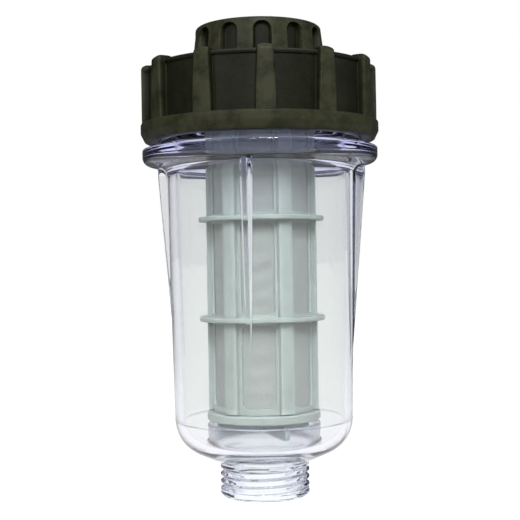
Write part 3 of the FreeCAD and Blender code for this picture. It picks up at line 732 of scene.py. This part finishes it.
def build_washer(material):
    """Flat washer with rounded edges and a shallow groove pressed into both faces by the hose ends."""
    inner, outer, low, high = 8.0, 12.4, 133.33, 135.7
    groove = 0.12
    chain = rounded([
        (inner, 134.5), (inner, low, 0.3), (9.0, low, 0.3), (9.3, low + groove, 0.3),
        (10.0, low + groove, 0.3), (10.3, low, 0.3), (outer, low, 0.35), (outer, high, 0.35),
        (11.2, high, 0.3), (10.9, high - groove, 0.3), (9.3, high - groove, 0.3), (9.0, high, 0.3),
        (inner, high, 0.3), (inner, 134.6),
    ], spacing=0.5)
    piece = ring_surface("hose_washer_rubber", chain)
    return finish_piece(piece, "swivel_nut", ["hose_washer"], material)


def build_o_ring(name, body, node, middle, thick, height, material):
    """Sealing ring: a circle of radius thick carried round, with the fine flash line of its mould."""
    turn = np.linspace(0, FULL_TURN, 33)[:-1]
    proud = 0.03
    reach = thick - proud + proud * np.exp(-(np.sin(turn) / 0.09) ** 2)
    chain = np.column_stack([middle + reach * np.cos(turn), height + reach * np.sin(turn)])
    piece = ring_surface(name, chain, 160)
    return finish_piece(piece, body, [node], material, 60.0)


def build_snap_ring(material):
    """Split ring: a rounded rectangle carried round from one side of the gap to the other."""
    inner, outer, low, high = 9.45, 11.7, 131.6, 132.6
    half_gap = 1.6
    start = math.asin(half_gap / outer)
    section = rounded([
        (inner, 132.1), (inner, low, 0.2), (outer, low, 0.2), (outer, high, 0.2), (inner, high, 0.2),
        (inner, 132.15),
    ], spacing=0.5)
    sweep = lathed(closed(section), np.linspace(start, FULL_TURN - start, 97))
    piece = surface("snap_ring", [sweep], caps=[sweep[:-1, 0], sweep[:-1, -1][::-1]])
    return finish_piece(piece, "cap", ["nut_snap_ring"], material)


# ---------------------------------------------------------------- the cartridge

CAGE_TURN = math.radians(25.0)
CAGE_IN, CAGE_OUT = 14.4, 15.1
CAGE_FOOT = 25.75
HEAD_LOW, HEAD_HIGH = 112.4, 114.4
HOOPS = (53.5, 83.4)
HOOP_THICK = 1.6
SILLS = (27.6, 55.0, 84.9)
HEADS = (52.0, 81.9, 111.65)
WINDOW_HALF = 4.9
WINDOW_CORNER = 1.6


def cage_bands(sizes):
    """The cage's closed rings: foot, two hoops, and the head with its neck and ring groove."""
    hoop = sizes.hoop_radius / MM
    chains = [rounded([
        (CAGE_IN, 26.6), (CAGE_IN, CAGE_FOOT, 0.1), (CAGE_OUT, CAGE_FOOT, 0.2), (CAGE_OUT, SILLS[0], 0.15),
        (CAGE_IN, SILLS[0], 0.15), (CAGE_IN, 26.7),
    ], spacing=1.2)]
    for middle, low, high in zip(HOOPS, HEADS, SILLS[1:]):
        foot, top = middle - HOOP_THICK / 2, middle + HOOP_THICK / 2
        chains.append(rounded([
            (CAGE_IN, middle), (CAGE_IN, low, 0.15), (CAGE_OUT, low, 0.15), (CAGE_OUT, foot, 0.3),
            (hoop, foot + 0.12, 0.35), (hoop, top - 0.12, 0.35), (CAGE_OUT, top, 0.3), (CAGE_OUT, high, 0.15),
            (CAGE_IN, high, 0.15), (CAGE_IN, middle + 0.1),
        ], spacing=1.2))
    chains.append(rounded([
        (CAGE_IN, 112.0), (CAGE_IN, HEADS[2], 0.1), (CAGE_OUT, HEADS[2], 0.1), (CAGE_OUT, HEAD_LOW, 0.3),
        (hoop, HEAD_LOW, 0.4), (hoop, HEAD_HIGH, 0.5), (9.92, HEAD_HIGH, 0.5), (9.92, 119.9, 0.1),
        (8.1, 119.9, 0.15), (8.1, 121.9, 0.15), (9.92, 121.9, 0.1), (9.92, 124.3, 0.2), (9.32, 124.9, 0.2),
        (6.9, 124.9, 0.3), (6.9, HEAD_LOW, 0.3), (CAGE_IN, HEAD_LOW, 0.1), (CAGE_IN, 112.1),
    ], spacing=1.5))
    return [lathed(closed(chain), evenly(0.0, 144)) for chain in chains]


def cage_posts(sizes):
    """The cage's uprights, each a closed shell: a T section lofted upwards.

    The cross of the T is the wall between two windows. It flares out by a quarter circle at each
    sill and head, which rounds the windows' corners. The stem is the upright fin.
    """
    fin, half = sizes.fin_radius / MM, sizes.fin_width / MM / 2
    low, high = CAGE_FOOT + 0.3, HEAD_LOW + 0.8
    steps = WINDOW_CORNER * (1 - np.cos(np.radians(np.arange(0, 91, 15.0))))
    levels = [np.array([low, high])]
    for sill, head in zip(SILLS, HEADS):
        levels += [sill + steps, head - steps, np.linspace(sill, head, 9)[1:-1]]
    levels = np.unique(np.round(np.concatenate(levels), 4))
    inside = np.max([np.minimum(levels - sill, head - levels) for sill, head in zip(SILLS, HEADS)], axis=0)
    inside = np.clip(inside, 0.0, WINDOW_CORNER)
    flare = WINDOW_CORNER - np.sqrt(WINDOW_CORNER ** 2 - (WINDOW_CORNER - inside) ** 2)
    middle = (CAGE_IN + CAGE_OUT) / 2
    wall = math.pi / sizes.fins - math.asin(WINDOW_HALF / middle) + flare / middle
    inner, outer = CAGE_IN + 0.04, CAGE_OUT - 0.04
    stem = half / fin
    cross = [(inner, share, 0.0) for share in np.linspace(-1, 1, 9)]
    side = [(outer - 0.12, 1.0, 0.0), (outer, 0.985, 0.0), (outer, 0.0, 1.16), (outer + 0.12, 0.0, 1.04),
            (outer + 0.4, 0.0, 1.0), (fin - 0.35, 0.0, 0.98), (fin - 0.1, 0.0, 0.93), (fin, 0.0, 0.80),
            (fin, 0.0, 0.4)]
    section = np.array(cross + side + [(fin, 0.0, 0.0)])
    section = closed(np.vstack([section, np.array(side[::-1]) * [1, -1, -1]]))
    loft = turned(section[:, 0], levels[:, None], section[:, 1] * wall[:, None] + section[:, 2] * stem)
    patches, caps = [], []
    for number in range(sizes.fins):
        turn = CAGE_TURN + (number + 0.5) * FULL_TURN / sizes.fins
        cosine, sine = math.cos(turn), math.sin(turn)
        post_grid = loft @ np.array([[cosine, sine, 0], [-sine, cosine, 0], [0, 0, 1]])
        patches.append(post_grid)
        caps += [post_grid[0, :-1], post_grid[-1, :-1][::-1]]
    return patches, caps


def build_cage(sizes, material):
    """Cartridge cage: uprights and rings made as closed shells and united."""
    posts, ends = cage_posts(sizes)
    piece = outward_faces(surface("filter_cage", posts, caps=ends))
    piece = joined(piece, surface("cage_rings", cage_bands(sizes)))
    return finish_piece(piece, "cartridge", ["cartridge_cage"], material, 32.0)


def build_mesh_sleeve(sizes, material):
    """Mesh sleeve: a thin closed tube that waves in and out where a window leaves it free.

    The wave is a sum of two sines, one along the height and bent round the sleeve, one on a slant.
    """
    inner, outer, low, high = 14.0, 14.35, CAGE_FOOT, 112.35
    levels = np.linspace(low, high, 175)[:, None]
    angles = evenly(CAGE_TURN, 192)
    spread_over = np.cos((angles - CAGE_TURN) * sizes.fins)
    free = smooth_step(spread_over, -0.35, 0.7)
    open_height = np.zeros_like(levels)
    for sill, head in zip(SILLS, HEADS):
        open_height = open_height + fades(levels, sill + 0.5, head - 0.5, 3.0)
    along = np.sin(levels * 1.15 + 2.3 * np.sin(angles * 3 + 0.4) + 0.35 * np.sin(levels * 0.21))
    slanting = 0.6 * np.sin(levels * 0.47 + 5.0 * angles)
    move = sizes.wave / MM * (along + slanting) * free * open_height
    outside = turned(outer + move, levels, angles)
    inside = turned(inner + move, levels, angles)[::-1]
    ends = [np.stack([outside[-1], inside[0]]), np.stack([inside[-1], outside[0]])]
    piece = surface("mesh_sleeve", [outside, inside] + ends)
    return finish_piece(piece, "cartridge", ["cartridge_mesh"], material)


def build_end_plug(material):
    """End plug: a turned disc with a hollow spigot, united with the crossed centring webs below it."""
    chain = rounded([
        (0.0, 23.0), (17.15, 23.0, 0.5), (17.15, 25.7, 0.5), (13.9, 25.7, 0.2), (13.9, 28.2, 0.3),
        (12.3, 28.2, 0.3), (12.3, 25.7, 0.4), (0.0, 25.7),
    ], spacing=1.8)
    piece = surface("cartridge_plug", [lathed(chain, evenly(0.0, 144))])
    half, reach, low, high = 0.8, 15.15, 17.6, 23.6
    outline = closed(rounded([
        (0.0, high), (-reach, high), (-reach, low, 1.2), (reach, low, 1.2), (reach, high), (0.1, high),
    ], spacing=1.5))
    across = half * np.array([-1.0, -0.98, -0.9, -0.7, 0.7, 0.9, 0.98, 1.0])
    edge = np.clip((np.abs(across) / half - 0.7) / 0.3, 0, 1)
    shrink = 1 - 0.25 * (1 - np.sqrt(1 - edge ** 2)) / reach
    centre = np.array([0.0, high - 0.4])
    strip = centre + (outline - centre) * shrink[:, None, None]
    for number in range(2):
        turn = CAGE_TURN + number * FULL_TURN / 4
        flat = strip[..., :1] * [math.cos(turn), math.sin(turn)]
        flat = flat + across[:, None, None] * np.array([-math.sin(turn), math.cos(turn)])
        grid = np.concatenate([flat, strip[..., 1:]], axis=-1)
        web = surface(f"web_{number}", [grid], caps=[grid[0, :-1], grid[-1, :-1][::-1]])
        piece = joined(piece, outward_faces(web))
    return finish_piece(piece, "cartridge", ["cartridge_end_plug"], material, 32.0)


# ---------------------------------------------------------------- finishes

def fed(tree, made, sockets):
    """Give a node's sockets fixed values, or join them to the outputs of other nodes."""
    for name, value in sockets.items():
        if isinstance(value, bpy.types.NodeSocket):
            tree.links.new(value, made.inputs[name])
        else:
            made.inputs[name].default_value = value


def wired(tree, kind, sockets=None, **settings):
    """New node with its settings, and its sockets fed."""
    made = tree.nodes.new(kind)
    for name, value in settings.items():
        setattr(made, name, value)
    fed(tree, made, sockets or {})
    return made


def calculated(tree, operation, *values):
    """Result of a Math node on one or two values."""
    return wired(tree, "ShaderNodeMath", dict(enumerate(values)), operation=operation).outputs[0]


def start_material(name):
    """Empty material with one Principled shader; gives the material, its tree, shader and coordinates."""
    material = bpy.data.materials.new(name)
    material.use_nodes = True
    tree = material.node_tree
    tree.nodes.clear()
    shader = wired(tree, "ShaderNodeBsdfPrincipled")
    wired(tree, "ShaderNodeOutputMaterial", {"Surface": shader.outputs["BSDF"]})
    return material, tree, shader, wired(tree, "ShaderNodeTexCoord").outputs["Object"]


def noise(tree, place, scale, detail=3.0, roughness=0.55):
    """Soft noise with features about 1/scale metres across."""
    return wired(tree, "ShaderNodeTexNoise", {
        "Vector": place, "Scale": scale, "Detail": detail, "Roughness": roughness}).outputs["Fac"]


def between(tree, factor, low, high, start=0.0, end=1.0):
    """Number that goes from low to high while the factor goes from start to end."""
    return wired(tree, "ShaderNodeMapRange", {
        "Value": factor, "From Min": start, "From Max": end, "To Min": low, "To Max": high}).outputs["Result"]


def blended(tree, factor, first, second):
    """Colour that goes from the first to the second with the factor."""
    return wired(tree, "ShaderNodeMix", {0: factor, 6: first, 7: second}, data_type="RGBA").outputs[2]


def either(tree, share, first, second):
    """Shader that goes from the first to the second with the share."""
    return wired(tree, "ShaderNodeMixShader", {0: share, 1: first, 2: second}).outputs["Shader"]


def shaded(colour_value, factor):
    """A colour made lighter or darker, with full alpha."""
    return (*[min(channel * factor, 1.0) for channel in colour_value], 1.0)


def raised(tree, height, strength, distance, normal=None):
    """Bump from a height; distance is in metres."""
    sockets = {"Height": height, "Strength": strength, "Distance": distance}
    if normal is not None:
        sockets["Normal"] = normal
    return wired(tree, "ShaderNodeBump", sockets).outputs["Normal"]


def sharp_edge_mask(tree, low, high):
    """0 on flat surfaces and 1 on sharp outer edges."""
    point = wired(tree, "ShaderNodeNewGeometry").outputs["Pointiness"]
    return between(tree, point, 0.0, 1.0, low, high)


def zone(tree, place, start, end, low=-1.0, high=1.0):
    """0 nearer to the axis than start, 1 beyond end, between two heights; all in metres."""
    fade = 0.0003
    split = wired(tree, "ShaderNodeSeparateXYZ", {"Vector": place}).outputs
    flat = wired(tree, "ShaderNodeCombineXYZ", {"X": split["X"], "Y": split["Y"]}).outputs["Vector"]
    reach = wired(tree, "ShaderNodeVectorMath", {0: flat}, operation="LENGTH").outputs["Value"]
    over = between(tree, reach, 0.0, 1.0, start, end)
    above = between(tree, split["Z"], 0.0, 1.0, low, low + fade)
    below = between(tree, split["Z"], 1.0, 0.0, high - fade, high)
    return calculated(tree, "MULTIPLY", over, calculated(tree, "MULTIPLY", above, below))


def seat_zone(tree, place, low, high):
    """1 in the seat ring under the cartridge between two heights in metres."""
    inner = zone(tree, place, 0.0150, 0.0153, low, high)
    return calculated(tree, "SUBTRACT", inner, zone(tree, place, 0.0173, 0.0176, low, high))


# Tints of the bowl by place: the radii between which a tint sets in, its lowest and its highest height, all
# in metres, and its colour. A later row covers the rows before it.
BOWL_TINTS = {
    "wall": (0.0, 0.001, 0.0235, 0.0975, (0.885, 0.900, 0.865, 1.0)),
    # The gusset fins' grey is painted shade: it stands in for how dark a fin looks when seen edge-on.
    "gusset fins": (0.0277, 0.0292, 0.0400, 0.0975, (0.80, 0.81, 0.81, 1.0)),
    "parting line": (0.0, 0.001, 0.0226, 0.0232, (0.62, 0.64, 0.63, 1.0)),
    "flange": (0.0, 0.001, 0.0990, 0.1400, (0.87, 0.88, 1.0, 1.0)),
    "neck": (0.0, 0.001, -0.001, 0.0100, (0.930, 0.962, 0.952, 1.0)),
}
SEAT_TINT = (0.915, 0.935, 0.955, 1.0)
SEAT_BAND_TINT = (0.83, 0.87, 0.93, 1.0)
SEAT_FOOT_TINT = (0.30, 0.34, 0.45, 1.0)
# Painted shade: the clear plastic darkens towards this colour where it is seen at a grazing angle.
GRAZING_PAINTED_SHADE = (0.62, 0.62, 0.67, 1.0)
BOWL_SHADOW = (0.93, 0.94, 0.97, 1.0)


def clear_plastic(shade, depth):
    """Clear gloss plastic: refracts, takes on a tint in thick places, and lets lamp light through.

    Its surface has a tint that changes by place, with painted shade greying the gusset fins, and painted
    shade that darkens it where it is seen at a grazing angle; the seat ring is frosted.
    """
    material, tree, shader, place = start_material("clear_bowl")
    flow = noise(tree, place, 60.0, 2.0)
    haze = noise(tree, place, 700.0)
    facing = wired(tree, "ShaderNodeLayerWeight", {"Blend": 0.5}).outputs["Facing"]
    body = blended(tree, haze, shaded(shade, 1.0), shaded(shade, 0.985))
    for *limits, tint in BOWL_TINTS.values():
        body = blended(tree, zone(tree, place, *limits), body, tint)
    seat = seat_zone(tree, place, 0.0155, 0.0222)
    band = calculated(tree, "MULTIPLY", seat, zone(tree, place, 0.0, 0.001, 0.0199, 0.0222))
    body = blended(tree, seat, body, SEAT_TINT)
    body = blended(tree, band, body, SEAT_BAND_TINT)
    body = blended(tree, seat_zone(tree, place, 0.0193, 0.0196), body, SEAT_FOOT_TINT)
    gloss = between(tree, haze, 0.012, 0.045, 0.35, 0.75)
    fed(tree, shader, {
        # Painted shade at grazing angles.
        "Base Color": blended(tree, calculated(tree, "POWER", facing, 7.0), body, GRAZING_PAINTED_SHADE),
        "Roughness": calculated(tree, "MAXIMUM", gloss, calculated(tree, "MULTIPLY", seat, 0.2)),
        "Normal": raised(tree, flow, 0.12, 0.0006),
        "Transmission Weight": 1.0,
        "IOR": 1.54,
    })
    absorb = wired(tree, "ShaderNodeVolumeAbsorption", {"Color": shaded(depth, 1.0), "Density": 22.0})
    through = wired(tree, "ShaderNodeBsdfTransparent", {"Color": BOWL_SHADOW})
    lamp = wired(tree, "ShaderNodeLightPath").outputs["Is Shadow Ray"]
    fed(tree, tree.nodes["Material Output"], {
        "Surface": either(tree, lamp, shader.outputs["BSDF"], through.outputs["BSDF"]),
        "Volume": absorb.outputs["Volume"],
    })
    return material


def black_plastic(shade, worn_and_highlit):
    """Fine-grained black plastic, lighter olive on ribs, band, lands and outer edges: partly wear where hands
    rub it, partly painted highlight.
    """
    if "grained_black" in bpy.data.materials:
        return bpy.data.materials["grained_black"]
    material, tree, shader, place = start_material("grained_black")
    cloud = noise(tree, place, 160.0, 5.0, 0.7)
    grain = noise(tree, place, 3000.0, 2.0)
    cap_outside, nut_lands = zone(tree, place, 0.0343, 0.0353), zone(tree, place, 0.0179, 0.0187, 0.1312)
    # Lighter olive on the rib faces, the band, the nut's lands and the sharp outer edges: partly wear where
    # hands rub it, partly a painted highlight.
    handled_and_highlit = calculated(tree, "MAXIMUM", cap_outside, nut_lands)
    rub_and_highlight = calculated(tree, "MULTIPLY", handled_and_highlit, between(tree, cloud, 0.2, 1.15, 0.34, 0.6))
    wear_and_highlight = calculated(tree, "MAXIMUM", rub_and_highlight, sharp_edge_mask(tree, 0.52, 0.62))
    body = blended(tree, between(tree, cloud, 0.0, 1.0, 0.3, 0.7), shaded(shade, 0.7), shaded(shade, 1.6))
    body = blended(tree, wear_and_highlight, body, shaded(worn_and_highlit, 1.0))
    speckle = between(tree, grain, 0.0, 0.2, 0.5, 0.75)
    fine = raised(tree, grain, 0.45, 0.00005)
    fed(tree, shader, {
        "Base Color": blended(tree, speckle, body, shaded(worn_and_highlit, 1.0)),
        "Roughness": between(tree, grain, 0.36, 0.5, 0.3, 0.7),
        "Normal": raised(tree, cloud, 0.3, 0.00012, fine),
        "Specular IOR Level": 0.13,
    })
    return material


def cartridge_plastic(shade):
    """Satin moulded plastic that lets a little light in, with faint flow marks."""
    if "satin_cage" in bpy.data.materials:
        return bpy.data.materials["satin_cage"]
    material, tree, shader, place = start_material("satin_cage")
    cloud = noise(tree, place, 110.0, 4.0)
    grain = noise(tree, place, 2600.0, 2.0)
    body = blended(tree, between(tree, cloud, 0.0, 1.0, 0.3, 0.7), shaded(shade, 0.88), shaded(shade, 1.08))
    fed(tree, shader, {
        # Lighter at sharp outer edges: a painted edge highlight.
        "Base Color": blended(tree, sharp_edge_mask(tree, 0.51, 0.60), body, shaded(shade, 1.25)),
        "Roughness": between(tree, grain, 0.36, 0.5, 0.3, 0.7),
        "Normal": raised(tree, grain, 0.3, 0.00005),
        "Subsurface Weight": 0.2,
        "Subsurface Radius": (0.0012, 0.0014, 0.0013),
        "Subsurface Scale": 1.0,
    })
    return material


def mesh_cloth(shade):
    """Fine plain weave round the sleeve: threads along it and round it pass over and under in turn."""
    material, tree, shader, place = start_material("woven_mesh")
    threads_round, thread_pitch = 132.0, 0.00068
    split = wired(tree, "ShaderNodeSeparateXYZ", {"Vector": place}).outputs
    turn = calculated(tree, "ARCTAN2", split["Y"], split["X"])
    round_it = calculated(tree, "MULTIPLY", turn, threads_round)
    along_it = calculated(tree, "MULTIPLY", split["Z"], FULL_TURN / thread_pitch)
    waves = [calculated(tree, "SINE", angle) for angle in (round_it, along_it)]
    over = between(tree, calculated(tree, "MULTIPLY", *waves), 0.0, 1.0, -1.0, 1.0)
    cloud = noise(tree, place, 240.0, 4.0)
    cloth = blended(tree, over, shaded(shade, 0.66), shaded(shade, 1.12))
    fed(tree, shader, {
        "Base Color": blended(tree, between(tree, cloud, 0.0, 0.55, 0.4, 0.75), cloth, shaded(shade, 0.8)),
        "Roughness": between(tree, over, 0.75, 0.5),
        "Normal": raised(tree, over, 0.5, 0.00012),
        "Sheen Weight": 0.15,
    })
    return material


def rubber(name, shade):
    """Matt rubber with a fine bloom on its surface."""
    material, tree, shader, place = start_material(name)
    bloom = noise(tree, place, 420.0, 5.0)
    grain = noise(tree, place, 5200.0, 2.0)
    patches = between(tree, bloom, 0.0, 0.6, 0.45, 0.8)
    fed(tree, shader, {
        "Base Color": blended(tree, patches, shaded(shade, 1.0), shaded(shade, 2.6)),
        "Roughness": between(tree, bloom, 0.55, 0.8, 0.3, 0.7),
        "Normal": raised(tree, grain, 0.35, 0.00003),
        "Specular IOR Level": 0.35,
    })
    return material


def ring_plastic(shade):
    """Off-white bearing plastic of the snap ring."""
    material, tree, shader, place = start_material("bearing_plastic")
    cloud = noise(tree, place, 300.0, 4.0)
    fed(tree, shader, {
        "Base Color": blended(tree, cloud, shaded(shade, 0.85), shaded(shade, 1.1)),
        "Roughness": between(tree, cloud, 0.32, 0.5),
        "Normal": raised(tree, cloud, 0.2, 0.00005),
        "Subsurface Weight": 0.15,
        "Subsurface Radius": (0.001, 0.001, 0.0008),
        "Subsurface Scale": 1.0,
    })
    return material


# ---------------------------------------------------------------- the stage

WHITE = (1.0, 1.0, 1.0, 1.0)
SHADING_LIGHT = (0.93, 0.96, 1.0, 1.0)
FLOOR_RINGS = (9000.0, 2500.0, 900.0, 400.0, 0.0)
FLOOR_LEVEL = -0.05


def seen_directly(tree):
    """1 for what is seen directly or through the bowl, 0 for light that shades other surfaces."""
    path = wired(tree, "ShaderNodeLightPath").outputs
    return calculated(tree, "MAXIMUM", path["Is Camera Ray"], path["Is Transmission Ray"])


def floor_finish(shade):
    """Pale floor: seen directly, or mirrored close by, it meets the backdrop; to lamps it is matt."""
    material, tree, shader, place = start_material("pale_floor")
    paper = noise(tree, place, 30.0)
    fed(tree, shader, {
        "Base Color": blended(tree, paper, shaded(shade, 0.99), shaded(shade, 1.01)),
        "Roughness": between(tree, paper, 0.7, 0.8),
    })
    even = wired(tree, "ShaderNodeEmission", {"Color": WHITE, "Strength": 1.12})
    away = wired(tree, "ShaderNodeVectorMath", {0: place}, operation="LENGTH").outputs["Value"]
    mirrored = wired(tree, "ShaderNodeLightPath").outputs["Is Glossy Ray"]
    close_by = calculated(tree, "MULTIPLY", between(tree, away, 0.8, 0.0, 0.12, 0.45), mirrored)
    share = calculated(tree, "MAXIMUM", seen_directly(tree), close_by)
    fed(tree, tree.nodes["Material Output"], {
        "Surface": either(tree, share, shader.outputs["BSDF"], even.outputs["Emission"])})
    return material


def add_floor(finishes):
    """Round pale floor under the neck."""
    rings = np.array(FLOOR_RINGS)[:, None]
    piece = surface("floor", [turned(rings, FLOOR_LEVEL, evenly(0.0, 64))])
    piece.data.materials.append(floor_finish(finishes.floor))


def add_backdrop():
    """White surroundings for what is seen directly or through the bowl; dim ones for shading."""
    world = bpy.data.worlds.new("studio")
    bpy.context.scene.world = world
    world.use_nodes = True
    tree = world.node_tree
    tree.nodes.clear()
    dim, white = (
        wired(tree, "ShaderNodeBackground", {"Color": tint, "Strength": strength}).outputs["Background"]
        for tint, strength in ((SHADING_LIGHT, 0.10), (WHITE, 1.0)))
    wired(tree, "ShaderNodeOutputWorld", {"Surface": either(tree, seen_directly(tree), dim, white)})


# Each lamp's place, its width and height, all in metres, and its watts. They point at the middle.
LAMPS = {
    "key": ((0.06, -0.64, 0.53), (0.30, 0.22), 4.6),
    "fill": ((-0.50, -0.50, 0.40), (0.25, 0.25), 1.2),
    "side": ((0.62, -0.16, 0.42), (0.30, 0.30), 0.9),
    "top": ((0.0, 0.15, 0.80), (0.50, 0.50), 1.2),
}
LAMP_TARGET = (0.0, 0.0, 0.075)


def add_lamps():
    """Soft square lamps, hidden from the camera and from what is seen through the bowl."""
    for name, (place, (width, height), watts) in LAMPS.items():
        lamp = bpy.data.lights.new(name, "AREA")
        lamp.shape = "RECTANGLE"
        lamp.size, lamp.size_y = width, height
        lamp.energy = watts
        item = bpy.data.objects.new(name, lamp)
        bpy.context.scene.collection.objects.link(item)
        item.location = place
        item.rotation_euler = (Vector(LAMP_TARGET) - Vector(place)).to_track_quat("-Z", "Y").to_euler()
        item.visible_camera = False
        item.visible_transmission = False


def add_camera():
    """Level camera in front of the bowl, turned a little about its line of sight."""
    camera = bpy.data.cameras.new("camera")
    camera.lens, camera.sensor_width = 75.5, 36.0
    camera.clip_start, camera.clip_end = 0.01, 50.0
    item = bpy.data.objects.new("camera", camera)
    bpy.context.scene.collection.objects.link(item)
    item.location = (-0.0005, -0.332, 0.071)
    item.rotation_euler = (math.radians(90.0), math.radians(0.92), 0.0)
    bpy.context.scene.camera = item


# ---------------------------------------------------------------- operators and panel

class FILTER_OT_bowl(Operator):
    """Build the clear bowl"""
    bl_idname = "water_filter.bowl"
    bl_label = "Clear Bowl"

    def execute(self, context):
        colours = context.scene.filter_finishes
        build_bowl(context.scene.filter_bowl, clear_plastic(colours.clear, colours.depth))
        return {"FINISHED"}


class FILTER_OT_cap(Operator):
    """Build the screw cap"""
    bl_idname = "water_filter.cap"
    bl_label = "Screw Cap"

    def execute(self, context):
        colours = context.scene.filter_finishes
        build_cap(context.scene.filter_cap, black_plastic(colours.black, colours.worn_and_highlit))
        return {"FINISHED"}


class FILTER_OT_snap_ring(Operator):
    """Build the snap ring on the cap's tail"""
    bl_idname = "water_filter.snap_ring"
    bl_label = "Snap Ring"

    def execute(self, context):
        build_snap_ring(ring_plastic(context.scene.filter_finishes.ring))
        return {"FINISHED"}


class FILTER_OT_nut(Operator):
    """Build the swivel nut"""
    bl_idname = "water_filter.nut"
    bl_label = "Swivel Nut"

    def execute(self, context):
        colours = context.scene.filter_finishes
        build_nut(context.scene.filter_nut, black_plastic(colours.black, colours.worn_and_highlit))
        return {"FINISHED"}


class FILTER_OT_washer(Operator):
    """Build the flat washer in the swivel nut"""
    bl_idname = "water_filter.washer"
    bl_label = "Hose Washer"

    def execute(self, context):
        build_washer(rubber("washer_compound", context.scene.filter_finishes.rubber))
        return {"FINISHED"}


class FILTER_OT_cartridge(Operator):
    """Build the cartridge: cage, mesh sleeve and end plug"""
    bl_idname = "water_filter.cartridge"
    bl_label = "Filter Cartridge"

    def execute(self, context):
        sizes, colours = context.scene.filter_cartridge, context.scene.filter_finishes
        build_cage(sizes, cartridge_plastic(colours.cage))
        build_mesh_sleeve(sizes, mesh_cloth(colours.mesh))
        build_end_plug(cartridge_plastic(colours.cage))
        return {"FINISHED"}


class FILTER_OT_seals(Operator):
    """Build the sealing rings of the bowl and the cartridge"""
    bl_idname = "water_filter.seals"
    bl_label = "Sealing Rings"

    def execute(self, context):
        black = rubber("seal_compound", context.scene.filter_finishes.rubber)
        for name, row in SEALS.items():
            build_o_ring(name, *row, black)
        return {"FINISHED"}


class FILTER_OT_stage(Operator):
    """Set up the floor, backdrop, lamps and camera"""
    bl_idname = "water_filter.stage"
    bl_label = "Stage"

    def execute(self, context):
        add_floor(context.scene.filter_finishes)
        add_backdrop()
        add_lamps()
        add_camera()
        context.scene.view_settings.view_transform = "Standard"
        return {"FINISHED"}


class FILTER_PT_panel(Panel):
    """Lists the pieces of the filter and their sizes"""
    bl_idname = "FILTER_PT_panel"
    bl_label = "Inline Water Filter"
    bl_space_type = "VIEW_3D"
    bl_region_type = "UI"
    bl_category = "Water Filter"

    def draw(self, context):
        for operator in OPERATORS:
            self.layout.operator(operator.bl_idname)
        for name in GROUPS:
            box = self.layout.box()
            group = getattr(context.scene, name)
            for row in group.__annotations__:
                box.prop(group, row)


OPERATORS = (
    FILTER_OT_bowl, FILTER_OT_cap, FILTER_OT_snap_ring, FILTER_OT_nut, FILTER_OT_washer,
    FILTER_OT_cartridge, FILTER_OT_seals, FILTER_OT_stage)
GROUPS = {
    "filter_bowl": BowlSizes,
    "filter_cap": CapSizes,
    "filter_nut": NutSizes,
    "filter_cartridge": CartridgeSizes,
    "filter_finishes": Finishes,
}


def register():
    for kind in (*GROUPS.values(), *OPERATORS, FILTER_PT_panel):
        bpy.utils.register_class(kind)
    for name, kind in GROUPS.items():
        setattr(bpy.types.Scene, name, PointerProperty(type=kind))


def unregister():
    for name in GROUPS:
        delattr(bpy.types.Scene, name)
    for kind in (FILTER_PT_panel, *reversed(OPERATORS), *GROUPS.values()):
        bpy.utils.unregister_class(kind)


def main():
    """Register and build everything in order."""
    register()
    for operator in OPERATORS:
        family, name = operator.bl_idname.split(".")
        getattr(getattr(bpy.ops, family), name)()


if __name__ == "__main__":
    main()
